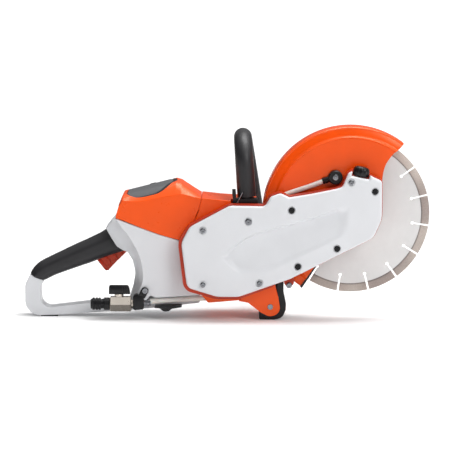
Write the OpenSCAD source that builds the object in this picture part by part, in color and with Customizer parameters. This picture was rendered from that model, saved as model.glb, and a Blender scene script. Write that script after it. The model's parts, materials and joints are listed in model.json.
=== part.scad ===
// Battery cut-off saw with a 230 mm wheel, a belt drive in a side arm, a turning wheel
// guard, a wrap-round front handle, a rear D-handle and a water feed.
// +X points forward to the wheel, +Y to the operator's left, +Z up. Millimetres.
// The origin is on the floor, below the middle of the saw.

/* [Overall] */
// Length from the rear handle loop to the front of the wheel
overall_l = 588; // [580:2:592]
// Plane of symmetry of the rear handle and the housing
mid_y = -10; // [-10.4:0.2:-9.6]
// Half width of the rear housing
housing_hw = 52; // [51.6:0.2:52.4]
// Wall thickness of the moulded shells
wall = 2.5; // [2.2:0.1:2.6]

/* [Cutting wheel] */
// Diameter of the cutting wheel
wheel_d = 230; // [228:1:232]
// Height of the spindle above the floor
spindle_z = 152; // [151.8:0.1:152.2]
// Middle plane of the cutting wheel
wheel_y = -28; // [-28.2:0.1:-27.8]
// Thickness of the steel core
core_t = 2.2; // [2:0.1:2.4]
// Thickness of the diamond segments
segment_t = 3; // [2.6:0.1:3.4]
// Radial height of the diamond segments
segment_h = 12; // [10:1:14]
// Number of diamond segments
segment_n = 16; // [12:1:20]
// Width of the slots between the segments
slot_w = 3.2; // [2.5:0.1:4]
// Bore of the wheel
arbor_d = 22.23; // [22.2:0.01:22.25]
// Diameter of the two clamping flanges
flange_d = 76; // [70:1:80]

/* [Guard] */
// Outer radius of the wheel guard
guard_r = 128; // [127:0.1:128.2]
// Right-hand face of the guard
guard_y0 = -54; // [-54.2:0.1:-53.8]
// Left-hand face of the guard
guard_y1 = -2; // [-4:0.5:0]
// Angle of the guard's front edge above the horizontal
guard_front_a = 53; // [48:1:56]
// Angle of the guard's rear edge, counted over the top
guard_rear_a = 235; // [230:1:236]

/* [Belt drive] */
// Motor axis, forward
motor_x = 8; // [7.5:0.1:8.5]
// Motor axis, height
motor_z = 88; // [87.5:0.1:88.5]
// Radius of the motor pulley
driver_r = 14; // [13:0.5:14]
// Radius of the wheel pulley
driven_r = 28; // [26:0.5:28]
// Width of the ribbed belt
belt_w = 10; // [8:1:11]

/* [Front handle] */
// Outer radius of the rubber sleeve
sleeve_r = 13.4; // [13:0.1:13.4]
// Outer radius of the steel tube
tube_r = 10; // [9.5:0.1:10]
// Wall of the steel tube
tube_wall = 2; // [1.5:0.1:3]
// Height of the top run's axis
handle_top_z = 257.5; // [255:0.5:260]

/* [Battery] */
// Length of the pack's top face, along the saw
battery_l = 70; // [66:1:70]
// Width of the pack, across the saw
battery_w = 92; // [88:1:92]
// Depth of the pack along its slot
battery_h = 138; // [136:1:138]
// Backward lean of the slot
battery_lean = 14; // [13.8:0.1:14.2]

/* [Hidden] */

$fn = 64;
orange = [0.93, 0.33, 0.08];
white = [0.92, 0.93, 0.94];
black = [0.10, 0.10, 0.11];
grey = [0.32, 0.34, 0.36];
silver = [0.75, 0.75, 0.76];
eps = 0.02;          // gap between faces that are pressed together
run_gap = 0.05;      // radial running clearance
big = 400;

wheel_r = wheel_d / 2;
wheel_x = overall_l / 2 - wheel_r;
rear_x = -overall_l / 2;
core_r = wheel_r - segment_h;
arbor_r = arbor_d / 2 - run_gap;
flange_r = flange_d / 2;
side_y0 = mid_y - housing_hw;
side_y1 = mid_y + housing_hw;

// Depth plan of the belt side, from the right-hand face inwards
cover_y0 = -97;
cover_y1 = -86;
plate_y0 = -67;
plate_y1 = side_y0 - eps;
pulley_y0 = -84;
pulley_y1 = -72;
belt_y = (pulley_y0 + pulley_y1) / 2;
hub_y1 = -38;
hub_r = 24;
bearing_r = 17.5;
shaft_r = 7.5;
motor_shaft_r = 4;
motor_left_y = 40;
head_h = 1;

// ---------------------------------------------------------------- helpers

function unit(v) = v / norm(v);

// One corner of an outline: [x, z, radius] becomes an arc of a few points
function corner(a, b, c, steps) =
    let (p = [b[0], b[1]], u = unit([a[0], a[1]] - p), w = unit([c[0], c[1]] - p))
    let (half = acos(max(-1, min(1, u * w))) / 2, r = len(b) > 2 ? b[2] : 0)
    r <= 0 || half > 89.5 ? [p] :
    let (t = min(r / tan(half), 0.49 * min(norm([a[0], a[1]] - p), norm([c[0], c[1]] - p))))
    let (rr = t * tan(half), o = p + unit(u + w) * rr / sin(half))
    let (s = p + u * t - o, e = p + w * t - o)
    let (a0 = atan2(s[1], s[0]), da = atan2(s[0] * e[1] - s[1] * e[0], s * e))
    [for (i = [0:steps]) o + rr * [cos(a0 + da * i / steps), sin(a0 + da * i / steps)]];

function rounded(pts, steps = 6) =
    let (n = len(pts))
    [for (i = [0:n - 1]) each corner(pts[(i + n - 1) % n], pts[i], pts[(i + 1) % n], steps)];

function arc(x, z, r, a0, a1, n = 24) =
    [for (i = [0:n]) [x + r * cos(a0 + (a1 - a0) * i / n), z + r * sin(a0 + (a1 - a0) * i / n)]];

function raised(pts, dz) = [for (p = pts) [p[0], p[1] + dz]];

// Outline of a belt that wraps two pulleys, grown by g
function belt_line(g) =
    let (d = [wheel_x - motor_x, spindle_z - motor_z], lean = atan2(d[1], d[0]))
    let (tangent = acos((driven_r - driver_r) / norm(d)))
    concat(arc(wheel_x, spindle_z, driven_r + g, lean - 180 + tangent, lean + 180 - tangent, 64),
        arc(motor_x, motor_z, driver_r + g, lean + 180 - tangent, lean + 180 + tangent, 32));

// An outline in the X-Z plane, made solid from y0 to y1
module slab(pts, y0, y1) {
    translate([0, y1, 0]) rotate([90, 0, 0]) linear_extrude(y1 - y0) polygon(pts);
}

module slab_offset(pts, y0, y1, grow) {
    translate([0, y1, 0]) rotate([90, 0, 0]) linear_extrude(y1 - y0)
        offset(delta = grow) polygon(pts);
}

module rod(x, z, r, y0, y1) {
    translate([x, y1, z]) rotate([90, 0, 0]) cylinder(r = r, h = y1 - y0);
}

module tube(x, z, r, r_in, y0, y1) {
    difference() {
        rod(x, z, r, y0, y1);
        rod(x, z, r_in, y0 - 1, y1 + 1);
    }
}

module box(x0, x1, y0, y1, z0, z1) {
    translate([x0, y0, z0]) cube([x1 - x0, y1 - y0, z1 - z0]);
}

// A profile of [radius, y] points turned about the spindle from angle a0 to a1
module revolve(profile, a0, a1) {
    translate([wheel_x, 0, spindle_z]) rotate([90, 0, 0]) rotate([0, 0, a0])
        rotate_extrude(angle = a1 - a0) polygon([for (p = profile) [p[0], -p[1]]]);
}

// Screw with its head's face at y, running towards +Y (dir 1) or -Y (dir -1)
module screw(x, z, y, dir, head_r, head, r, length) {
    translate([x, y, z]) rotate([-90 * dir, 0, 0]) difference() {
        union() {
            cylinder(r = head_r, h = head);
            cylinder(r = r, h = length);
        }
        translate([0, 0, -1]) cylinder(r = head_r * 0.45, h = 1 + head * 0.6, $fn = 6);
    }
}

// The battery's own frame: origin at the middle of its top face, slot along -Z
battery_top = [-109, mid_y, 188];
slot_clear = 2;
module in_slot() {
    translate(battery_top) rotate([0, -battery_lean, 0]) children();
}
module slot_space() {
    hx = battery_l / 2 + slot_clear;
    hy = battery_w / 2 + slot_clear;
    in_slot() translate([-hx, -hy, -battery_h - 6.2]) cube([2 * hx, 2 * hy, battery_h + 40]);
}

// ---------------------------------------------------------------- outlines, [x, z, radius]

// Seams that two neighbouring pieces share
housing_seam = [[-162, 148], [-153, 145.5], [-126, 134.5], [-97, 123.8], [-69, 115.8]];
foot_seam = [[17, 28.5], [21, 33.5], [66, 51.7]];

knob_at = [190, 209.5];
knob_y = -82;
knob_lean = 12;
function knob_pt(u, s) = knob_at + u * [cos(knob_lean), -sin(knob_lean)]
    + s * [sin(knob_lean), cos(knob_lean)];
module knob_axis() {
    translate([knob_at[0], knob_y, knob_at[1]]) rotate([0, knob_lean, 0]) children();
}

cover_pts = rounded([
    [3, 169, 8], [-54, 138.5, 18], [-66, 116, 20], [-58, 51, 12], [-15, 38, 40], [16, 38, 30],
    [90, 64, 30], [209, 123, 20], [221, 150, 40], [221, 204.5, 5], [212, 208.5, 6],
    knob_pt(13, 6), knob_pt(13, 0), knob_pt(-13, 0), knob_pt(-13, 7), [173, 216, 5],
    [165, 196, 8], [155, 193, 10], [120, 186, 30], [89, 181, 6], [76, 187, 8], [62, 182, 8],
    [54, 168, 8],
]);
lobe_pts = rounded([
    [22, 160, 4], [3, 170.5, 4], [-55, 141, 20], [-71, 117, 24], [-62.5, 47, 16], [-17, 34, 40],
    [17, 34.2, 30], [70, 53.6, 10], [70, 100, 4],
]);
motor_pts = concat(
    rounded(concat([[-69.6, 112, 0], [-69.6, 47, 4], [-40, 40, 6], [-28, 25, 4]],
        raised(foot_seam, 0.2),
        [[69, 64, 4], [60, 95, 40], [49, 125, 30], [46, 150, 10], [43, 158, 3], [-41.8, 158, 0]])),
    [[-48.2, 143], [-55.7, 116.3]]);
shroud_pts = concat(
    [[-161.5, 148.4], [-158, 164]],
    rounded([[-157, 168, 0], [-152, 180, 6], [-74, 199, 5], [-66, 197, 6], [-37.5, 178, 1],
        [-37.5, 176, 0]]),
    [[-41.8, 160], [-48.8, 143], [-56.3, 117]],
    raised([for (i = [4:-1:1]) housing_seam[i]], 0.4));
front_shroud_pts = concat([[-41.2, 158.3]], rounded([
    [-41.2, 160, 0], [-36.9, 177.5, 1], [-10, 174.5, 10], [4, 173.5, 2], [43, 172, 4],
    [43, 158.3, 0],
]));
housing_pts = concat(housing_seam, rounded([
    [-70, 112, 0], [-70, 36, 3], [-100, 33.5, 10], [-130, 36, 8], [-122, 60, 20],
    [-124, 88, 30], [-136, 120, 30],
]));
neck_pts = concat(housing_seam, rounded([
    [-90, 100, 0], [-90, 18, 0], [-120, 16, 0], [-143, 31, 2], [-136, 48, 20], [-133, 70, 30],
    [-143, 94, 6], [-150, 96, 2], [-160, 103, 4], [-167, 113, 0], [-177, 131, 1],
]));
loop_pts = rounded([
    [-289, 61, 0], [rear_x, 47, 20], [rear_x, 2.5, 34], [-240, 5, 30], [-130, 14, 0],
    [-40, 24, 3], [-40, 39.3, 1], [-58, 42.5, 1], [-62, 30, 4], [-128, 28, 0], [-200, 21, 20],
    [-271, 14, 17], [-272, 44, 20], [-268, 52.5, 0],
], 8);
core_pts = [[-172, 122], [-262, 80], [-286, 63.5], [-270, 55.5], [-256, 63], [-166, 99],
    [-160, 104]];
grip_pts = rounded([
    [-289.5, 61.5, 0], [-281, 75, 14], [-262, 86.5, 20], [-185, 122, 8], [-176, 129, 0],
    [-168, 113, 0], [-161, 104, 6], [-153, 96.5, 0], [-160, 93.5, 0], [-252, 60, 14],
    [-268, 53, 0],
]);
trigger_pts = rounded([
    [-190, 88, 2], [-190, 81, 3], [-181, 68, 3], [-176, 67, 4], [-156, 87, 3], [-144, 94, 3],
    [-142.5, 103, 4], [-156, 104, 3],
]);
trigger_pivot = [-149, 98];
lockout_pts = rounded([
    [-204, 110, 3], [-207, 114.5, 2], [-186, 125, 4], [-177, 126, 2], [-174, 119, 3],
    [-180, 114, 3],
]);
lockout_pivot = [-180, 119];
bracket_pts = rounded(concat(raised([foot_seam[2], foot_seam[1], foot_seam[0]], -0.1),
    [[30, 26, 4], [48, 12, 12], [62, 4.5, 16], [77, 12, 14], [74, 32, 4], [69, 52, 1]]));
foot_pts = rounded([
    [45, 0, 2], [66, 0, 20], [84, 6, 20], [87, 28, 20], [82, 66, 1], [73, 66, 1],
    [77.5, 28, 16], [76, 12, 8], [62, 9, 12], [45, 13, 1],
]);
foot_pivot = [62, 20];
panel_pts = rounded([
    [0, 101, 6], [26, 121, 20], [60, 135, 20], [176, 171, 6], [172, 134, 10], [157, 126, 6],
    [30, 72, 16], [4, 78, 10],
]);

silver_screw_at = [[-35, 134], [-35, 56], [46, 58], [30, 147], [177, 203]];
black_screw_at = [[92, 163], [101, 82], [157, 108], [211, 190]];
motor_screw_at = [[-35, 56], [42, 50], [-40, 112], [43, 130]];
right_screw = [-119, 43];
left_screw = [-80, 40];

// ---------------------------------------------------------------- rear housing and handle

// White housing with its handle frame, still solid
module housing_solid() {
    slab(housing_pts, side_y0, side_y1);
    slab(neck_pts, mid_y - 24, mid_y + 24);
    slab(loop_pts, mid_y - 17, mid_y + 17);
    slab(core_pts, mid_y - 14.5, mid_y + 14.5);
}

module trigger_slots() {
    box(-193.5, -142, mid_y - 8, mid_y + 8, 60, 114);
    box(-209, -172, mid_y - 6.6, mid_y + 6.6, 104, 132);
}

module rear_housing_right() { housing_half(mid_y - big); }
module rear_housing_left() { housing_half(mid_y); }

module housing_half(y_cut) {
    color(white) intersection() {
        box(-big, big, y_cut, y_cut + big, -big, big);
        difference() {
            union() {
                difference() {
                    housing_solid();
                    slab_offset(housing_pts, side_y0 + wall, side_y1 - wall, -wall);
                    slot_space();
                    trigger_slots();
                }
                // Screw bosses tie the two halves together
                for (p = [right_screw, left_screw]) rod(p[0], p[1], 3.3, side_y0 + 1, side_y1 - 1);
            }
            rod(right_screw[0], right_screw[1], 2 + run_gap, side_y0 - 1, mid_y + 20);
            rod(left_screw[0], left_screw[1], 2 + run_gap, mid_y - 20, side_y1 + 1);
            rod(-150, 122, 2 + run_gap, side_y0, mid_y + 12);
            rod(trigger_pivot[0], trigger_pivot[1], 2 + eps, mid_y - 20, mid_y + 20);
            rod(lockout_pivot[0], lockout_pivot[1], 2 + eps, mid_y - 12, mid_y + 12);
        }
    }
}

// Black soft grip moulded round the rear handle
module handle_grip() {
    color(black) difference() {
        slab(grip_pts, mid_y - 19, mid_y + 19);
        slab_offset(core_pts, mid_y - 14.5 - eps, mid_y + 14.5 + eps, eps);
        slab_offset(neck_pts, mid_y - 24, mid_y + 24, eps);
        slab_offset(loop_pts, mid_y - 24, mid_y + 24, eps);
        trigger_slots();
        rod(trigger_pivot[0], trigger_pivot[1], 2 + eps, mid_y - 20, mid_y + 20);
        rod(lockout_pivot[0], lockout_pivot[1], 2 + eps, mid_y - 12, mid_y + 12);
    }
}

module rear_foot_pad() {
    color(black) difference() {
        box(-273, -248, mid_y - 16, mid_y + 16, 0, 5);
        slab_offset(loop_pts, mid_y - 24, mid_y + 24, eps);
    }
}

// ---------------------------------------------------------------- orange body shells

// Cross section of the hump: upright sides that lean in above the crease, flat crown
module hump_section() {
    hw = housing_hw;
    translate([-big / 2, mid_y, 0]) rotate([90, 0, 90]) linear_extrude(big)
        polygon([[-hw, 100], [hw, 100], [hw, 178], [hw - 1.2, 204], [-hw + 1.2, 204],
            [-hw, 178]]);
}

module battery_shroud() {
    hx = battery_l / 2 + 3;
    hy = battery_w / 2 + 2.2;
    color(orange) difference() {
        intersection() {
            slab(shroud_pts, side_y0, side_y1);
            hump_section();
        }
        slab_offset(shroud_pts, side_y0 + wall, side_y1 - wall, -wall);
        // Open underneath, where the white housing starts
        slab([[-150, 100], [-150, 150], [-60, 126], [-60, 100]], side_y0 + wall, side_y1 - wall);
        in_slot() translate([-hx, -hy, -100]) cube([2 * hx, 2 * hy, 140]);
    }
}

module front_shroud() {
    color(orange) difference() {
        slab(front_shroud_pts, side_y0, motor_left_y);
        slab_offset(front_shroud_pts, side_y0 + wall, motor_left_y - wall, -wall);
        box(-38, 40, side_y0 + wall, motor_left_y - wall, 158, 164);
        box(5, 60, side_y0 - 1, -34, 150, 190);
    }
}

// Pocket that the supply hose runs into
hose_y = -56;
hose_z = 28.2;
module motor_housing() {
    color(orange) difference() {
        union() {
            difference() {
                slab(motor_pts, side_y0, motor_left_y);
                slab_offset(motor_pts, side_y0 + 4, motor_left_y + 1, -3);
            }
            tube(motor_x, motor_z, 42, 38 + eps, side_y0 + 3, -4);
            tube(motor_x, motor_z, 42, 11 + eps, -4, 4);
            for (p = motor_screw_at) rod(p[0], p[1], 5, side_y0 + 3, motor_left_y);
            rod(stub_x, stub_z, 14, 24, 46);
        }
        rod(motor_x, motor_z, 16.5, side_y0 - 1, side_y0 + 5);
        for (i = [0:5]) rod(motor_x + 28 * cos(60 * i), motor_z + 28 * sin(60 * i), 8, -5, 5);
        for (p = motor_screw_at) rod(p[0], p[1], 2 + run_gap, 14, motor_left_y + 1);
        rod(stub_x, stub_z, tube_r + eps, 26, 50);
        translate([-60, hose_y, hose_z]) rotate([0, 90, 0]) cylinder(r = 4.6, h = 50);
        slot_space();
    }
}

// Louvred cover on the left of the motor: the fan draws its air in here
vent_pts = rounded([[-50, 116, 10], [-50, 52, 12], [34, 52, 12], [38, 90, 20], [28, 126, 12],
    [-34, 130, 12]]);
module motor_cover() {
    y = motor_left_y;
    color(white) difference() {
        union() {
            slab(motor_pts, y + eps, y + 3);
            slab(vent_pts, y + 2, y + 11);
        }
        slab_offset(vent_pts, y - 1, y + 8.5, -2.5);
        for (i = [0:6]) box(-38 + i, 24 - i, y + 5, y + 20, 62 + 8 * i, 66 + 8 * i);
        for (p = motor_screw_at) rod(p[0], p[1], 2 + run_gap, 18, y + 20);
        for (p = motor_screw_at) if (p[0] < 0) rod(p[0], p[1], 4.6, y + 3, y + 20);
        rod(stub_x, stub_z, 14 + run_gap, 18, y + 20);
        slot_space();
    }
}

module air_filter() {
    y = motor_left_y;
    color(grey) difference() {
        slab_offset(vent_pts, y + 3.1, y + 7.5, -6);
        for (p = motor_screw_at) rod(p[0], p[1], 5, y, y + 20);
    }
}

// ---------------------------------------------------------------- drive housing, belt cover

elbow_at = [155.8, 207.2];
elbow_r = 10.5;
elbow_swing = norm(elbow_at - [wheel_x, spindle_z]);

module drive_housing() {
    color(orange) difference() {
        union() {
            difference() {
                union() {
                    slab_offset(cover_pts, cover_y1 + eps, plate_y1, 1.2);
                    slab(lobe_pts, cover_y1 - 3, plate_y1);
                }
                slab_offset(cover_pts, cover_y0, plate_y0, -1.8);
                slab_offset(cover_pts, cover_y0, cover_y1 + eps, 0.15);
            }
            rod(wheel_x, spindle_z, hub_r, plate_y1 - 2, hub_y1);
            for (p = concat(silver_screw_at, black_screw_at))
                rod(p[0], p[1], 4.4, cover_y1 + eps, plate_y0 + 1);
            // Block that takes the stud of the guard's clamping knob
            intersection() {
                slab_offset(cover_pts, cover_y1 + eps, -68.5, 1.2);
                box(167, 208, -90, -60, 193, 230);
            }
            // Lug in front of the foot, and the spray hose's outlet
            slab(rounded([[81, 66, 0], [82, 54, 4], [89, 45.5, 6], [96, 54, 4], [97, 70, 0]]),
                -70, plate_y1);
            rod(70, 160, 5, plate_y1 - 1, -54.6);
            rod(motor_x, motor_z, 16, plate_y0 - 4, plate_y1);
        }
        rod(wheel_x, spindle_z, bearing_r + eps, plate_y0 - 2, -55);
        rod(wheel_x, spindle_z, bearing_r + eps, -49, hub_y1 + 1);
        rod(wheel_x, spindle_z, 14, -56, -48);
        tube(wheel_x, spindle_z, hub_r + 2, 22.2, -46, -43.8);
        rod(motor_x, motor_z, 11 + eps, plate_y0 - 5, plate_y1 - 1);
        rod(motor_x, motor_z, 7, plate_y0 - 6, plate_y1 + 1);
        for (p = concat(silver_screw_at, black_screw_at))
            rod(p[0], p[1], 2 + run_gap, cover_y1 - 1, -70);
        rod(89, 52, 2.5 + eps, -72, -64);
        knob_axis() translate([0, 0, -30]) cylinder(r = 3 + run_gap, h = 40);
        // Path of the water elbow, which swings with the guard
        revolve([[elbow_swing - 12.5, -68], [elbow_swing + 13, -68], [elbow_swing + 13, -61],
            [elbow_swing - 12.5, -61]], 79, 134);
    }
}

// White cover over the belt, with a long recess that follows the belt's run
module belt_cover() {
    color(white) difference() {
        slab(cover_pts, cover_y0, cover_y1);
        slab_offset(cover_pts, cover_y0 + wall, cover_y1 + 1, -wall);
        slab(panel_pts, cover_y0 - 1, cover_y0 + 1);
        for (p = concat(silver_screw_at, black_screw_at))
            rod(p[0], p[1], 2 + run_gap, cover_y0 - 1, cover_y1 + 1);
    }
}

module silver_screws() {
    color(silver) {
        for (p = silver_screw_at) screw(p[0], p[1], cover_y0 - head_h, 1, 4.3, head_h - eps, 2, 26);
        screw(89, 52, -72.5, 1, 4.5, 2.5 - eps, 2.5, 8);
    }
}

module black_screws() {
    color(black) for (p = black_screw_at)
        screw(p[0], p[1], cover_y0 - head_h, 1, 4.5, head_h - eps, 2, 26);
}

// Screws of the rear housing, from the right, and of the motor cover, from the left
module housing_screws() {
    color(silver) {
        screw(right_screw[0], right_screw[1], -68, 1, 4, 2 - eps, 2, 56);
        screw(left_screw[0], left_screw[1], side_y1 + 1.6, -1, 4, 1.6 - eps, 2, 56);
        screw(-150, 122, mid_y - 24 - 1.6, 1, 4, 1.6 - eps, 2, 34);
        for (p = motor_screw_at)
            screw(p[0], p[1], motor_left_y + 5, -1, 4, 2 - eps, 2, 26);
    }
}

module drive_belt() {
    color(black) difference() {
        slab(belt_line(3), belt_y - belt_w / 2, belt_y + belt_w / 2);
        slab(belt_line(run_gap), belt_y - belt_w, belt_y + belt_w);
    }
}

// ---------------------------------------------------------------- motor and electronics

module motor_stator() {
    color(grey) tube(motor_x, motor_z, 38, 22, -54, -10);
}

module motor_bearings() {
    color(silver) {
        tube(motor_x, motor_z, 11, motor_shaft_r + run_gap, -70.5, -63.5);
        tube(motor_x, motor_z, 11, motor_shaft_r + run_gap, -3.5, 3.5);
    }
}

module control_unit() {
    color(grey) difference() {
        box(-34, 37, mid_y - 42, mid_y + 42, 136, 154.4);
        for (i = [0:7]) box(-31 + 8 * i, -27 + 8 * i, mid_y - 43, mid_y + 43, 148, 157);
    }
}

// Black liner of the battery slot, open at the top
module battery_bay() {
    shell = 1.8;
    gap = 0.4;
    color(black) in_slot() difference() {
        translate([-battery_l / 2 - shell, -battery_w / 2 - shell, -battery_h - 4])
            cube([battery_l + 2 * shell, battery_w + 2 * shell, battery_h - 1]);
        translate([-battery_l / 2 - gap, -battery_w / 2 - gap, -battery_h - gap])
            cube([battery_l + 2 * gap, battery_w + 2 * gap, battery_h + 10]);
        translate([-20, -30, -battery_h - 5]) cube([40, 60, 10]);
    }
}

blade_y = [-18, -6, 6, 18];
module battery_terminal() {
    color(black) in_slot() {
        translate([-19.8, -29.8, -battery_h - 6]) cube([39.6, 59.6, 5]);
        for (y = blade_y) translate([-8, y - 1, -battery_h - 2]) cube([16, 2, 10]);
    }
}

module battery_pack() {
    color(grey) in_slot() difference() {
        union() {
            translate([-battery_l / 2, -battery_w / 2, -battery_h])
                cube([battery_l, battery_w, battery_h]);
            translate([-battery_l / 2 + 3, -battery_w / 2 + 3, -1])
                cube([battery_l - 6, battery_w - 6, 4]);
        }
        for (y = blade_y) translate([-9, y - 1.6, -battery_h - 1]) cube([18, 3.2, 12]);
        translate([0, 30, -2]) cylinder(r = 5 + run_gap, h = 10);
    }
}

button_travel = 2;
module battery_button() {
    color(black) in_slot() translate([0, 30, 0.2]) cylinder(r = 5, h = 2.8 + button_travel - 0.4);
}

// ---------------------------------------------------------------- trigger group

module trigger() {
    color(orange) difference() {
        slab(trigger_pts, mid_y - 7, mid_y + 7);
        rod(trigger_pivot[0], trigger_pivot[1], 2 + run_gap, mid_y - 8, mid_y + 8);
    }
}

module lockout_lever() {
    color(black) difference() {
        slab(lockout_pts, mid_y - 5.6, mid_y + 5.6);
        rod(lockout_pivot[0], lockout_pivot[1], 2 + run_gap, mid_y - 8, mid_y + 8);
    }
}

module pivot_pins() {
    color(silver) {
        rod(trigger_pivot[0], trigger_pivot[1], 2, mid_y - 18, mid_y + 18);
        rod(lockout_pivot[0], lockout_pivot[1], 2, mid_y - 11, mid_y + 11);
    }
}

module trigger_switch() {
    color(black) box(-170, -157, mid_y - 6, mid_y + 6, 106.5, 114 - eps);
}

// ---------------------------------------------------------------- water feed

valve_y = -58;
valve_z = 25;
valve_x = -157;
module on_pipe(x) {
    translate([x, valve_y, valve_z]) rotate([0, 90, 0]) children();
}

// Ribbed plug of the hose's quick coupling
module water_coupling() {
    color(black) on_pipe(-200) difference() {
        union() {
            cylinder(r = 6.8, h = 12);
            translate([0, 0, 9]) cylinder(r = 7.8, h = 2.4);
            translate([0, 0, 11]) cylinder(r = 9.4, h = 8);
            translate([0, 0, 18]) cylinder(r = 8, h = 4);
            translate([0, 0, 21]) cylinder(r = 9.4, h = 8.98);
        }
        translate([0, 0, -1]) cylinder(r = 4, h = 40);
    }
}

module valve_body() {
    color(silver) difference() {
        union() {
            on_pipe(-170) rotate([0, 0, 30]) cylinder(r = 12.2, h = 31, $fn = 6);
            translate([valve_x, valve_y, valve_z + 6]) cylinder(r = 7, h = 6.6);
            on_pipe(-140) cylinder(r = 6.5, h = 3);
        }
        on_pipe(-175) cylinder(r = 4, h = 60);
        translate([valve_x, valve_y, valve_z]) sphere(r = 7.2);
        translate([valve_x, valve_y, valve_z]) cylinder(r = 3 + run_gap, h = 20);
    }
}

// Ball, stem and thumb lever of the valve
module valve_lever() {
    color(black) difference() {
        union() {
            translate([valve_x, valve_y, valve_z]) sphere(r = 7);
            translate([valve_x, valve_y, valve_z]) cylinder(r = 3, h = 14);
            translate([valve_x, valve_y, valve_z + 13]) cylinder(r = 8, h = 11);
            translate([valve_x - 15, valve_y - 5, valve_z + 13]) cube([31, 10, 11]);
        }
        on_pipe(-175) cylinder(r = 3.6, h = 40);
    }
}

module valve_clamp() {
    color(black) difference() {
        union() {
            on_pipe(-136.9) cylinder(r = 10.5, h = 13);
            slab(rounded([[-136.9, 24, 0], [-136.9, 38, 3], [-126, 50, 5], [-114, 49, 5],
                [-113, 38, 4], [-123.9, 24, 0]]), side_y0 - 4, side_y0 - eps);
        }
        on_pipe(-140) cylinder(r = 5.9 + eps, h = 20);
        on_pipe(-123.9) cylinder(r = 7.8, h = 14);
        rod(-119, 43, 2 + run_gap, -80, -50);
    }
}

module hose_fitting() {
    color(silver) difference() {
        union() {
            on_pipe(-136.9) cylinder(r = 5.9, h = 14);
            on_pipe(-123.8) cylinder(r = 6.4, h = 13.7);
            on_pipe(-119) rotate([0, 0, 30]) cylinder(r = 7.6, h = 4, $fn = 6);
        }
        on_pipe(-140) cylinder(r = 3, h = 60);
    }
}

// A round tube swept through points, as one closed polyhedron
function tangent_at(p, i) = unit(p[min(i + 1, len(p) - 1)] - p[max(i - 1, 0)]);
function ring_at(c, t, r, sides) =
    let (side = unit(cross(t, [0, 1, 0])), up = cross(side, t))
    [for (k = [0:sides - 1])
        c + r * (cos(360 * k / sides) * side + sin(360 * k / sides) * up)];
module sweep(points, r, sides = 12) {
    n = len(points);
    rings = [for (i = [0:n - 1]) each ring_at(points[i], tangent_at(points, i), r, sides)];
    walls = [for (i = [0:n - 2], k = [0:sides - 1])
        [i * sides + k, i * sides + (k + 1) % sides,
            (i + 1) * sides + (k + 1) % sides, (i + 1) * sides + k]];
    first = [[for (k = [0:sides - 1]) sides - 1 - k]];
    last = [[for (k = [0:sides - 1]) (n - 1) * sides + k]];
    polyhedron(rings, concat(walls, first, last));
}

supply_route = [
    [-110, -58, 25], [-102, -58, 25], [-94, -57.8, 25.2], [-84, -57.4, 25.6],
    [-74, -57, 26.1], [-64, -56.6, 26.7], [-54, -56.2, 27.4], [-46, -56, 28], [-38, -56, 28.2],
    [-30, -56, 28.2], [-22, -56, 28.2],
];
supply_r = 4.4;
module supply_hose() {
    color(white) sweep(supply_route, supply_r);
}

spray_route = [
    [70.4, -58, 165.1], [71, -58, 169], [73, -58, 174], [77, -58, 178.6], [83, -58, 182.3],
    [90.5, -58, 185.2], [98, -58, 187.6], [105, -58, 190], [112, -58, 192.5], [119, -58, 195.1],
    [126, -58, 198], [132.1, -58, 200.1],
];
spray_r = 3.4;
module spray_hose() {
    color(white) sweep(spray_route, spray_r);
}

module hose_clip() {
    color(grey) slab(rounded([[-106, 17, 2], [-97, 11.5, 4], [-84, 11.5, 4], [-74, 18, 2],
        [-74, 20.5, 1], [-106, 20, 1]]), -64, mid_y - 24 - eps);
}

// ---------------------------------------------------------------- front handle

near_lean = 3.5;
far_lean = 9;
bend_r = 34;
foot_bend = 22;
near_y = -50;
far_y = 98 - sleeve_r;
top_x = 23;
near_tube = 63.6;
far_tube = 130;
near_sleeve = 45;
far_sleeve = 75;
bead = 0.05;         // low ring where a straight meets a bend
stub_x = top_x + (bend_r + far_tube + foot_bend) * sin(far_lean);
stub_z = handle_top_z - (bend_r + far_tube + foot_bend) * cos(far_lean);

module bend(r, big_r, a) {
    rotate([90, 0, 90]) rotate([0, 0, a]) rotate_extrude(angle = 90)
        translate([big_r, 0]) circle(r = r);
}

// Near leg, top run and far leg, grown to radius r; the stub turns in to the motor housing
module handle_path(r, near_l, far_l, stub) {
    translate([top_x, 0, handle_top_z]) {
        translate([0, near_y + bend_r, 0]) rotate([-90, 0, 0])
            cylinder(r = r, h = far_y - near_y - 2 * bend_r);
        for (y = [near_y + bend_r, far_y - bend_r])
            translate([0, y - 0.5, 0]) rotate([-90, 0, 0]) cylinder(r = r + bead, h = 1);
        rotate([0, -near_lean, 0]) {
            translate([0, near_y + bend_r, -bend_r]) bend(r, bend_r, 90);
            translate([0, near_y, -bend_r - near_l]) cylinder(r = r, h = near_l);
            translate([0, near_y, -bend_r - 0.5]) cylinder(r = r + bead, h = 1);
        }
        rotate([0, -far_lean, 0]) {
            translate([0, far_y - bend_r, -bend_r]) bend(r, bend_r, 0);
            translate([0, far_y, -bend_r - far_l]) cylinder(r = r, h = far_l);
            translate([0, far_y, -bend_r - 0.5]) cylinder(r = r + bead, h = 1);
            if (stub > 0) {
                translate([0, far_y - foot_bend, -bend_r - far_l]) bend(r, foot_bend, -90);
                translate([0, far_y - foot_bend, -bend_r - far_l - foot_bend])
                    rotate([90, 0, 0]) cylinder(r = r, h = stub);
            }
        }
    }
}

module front_handle_tube() {
    color(black) difference() {
        handle_path(tube_r, near_tube, far_tube, 32);
        handle_path(tube_r - tube_wall, near_tube + 1, far_tube, 33);
    }
}

module front_handle_sleeve() {
    color(black) difference() {
        handle_path(sleeve_r, near_sleeve, far_sleeve, 0);
        handle_path(tube_r + eps, near_tube, far_tube, 0);
    }
}

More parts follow.
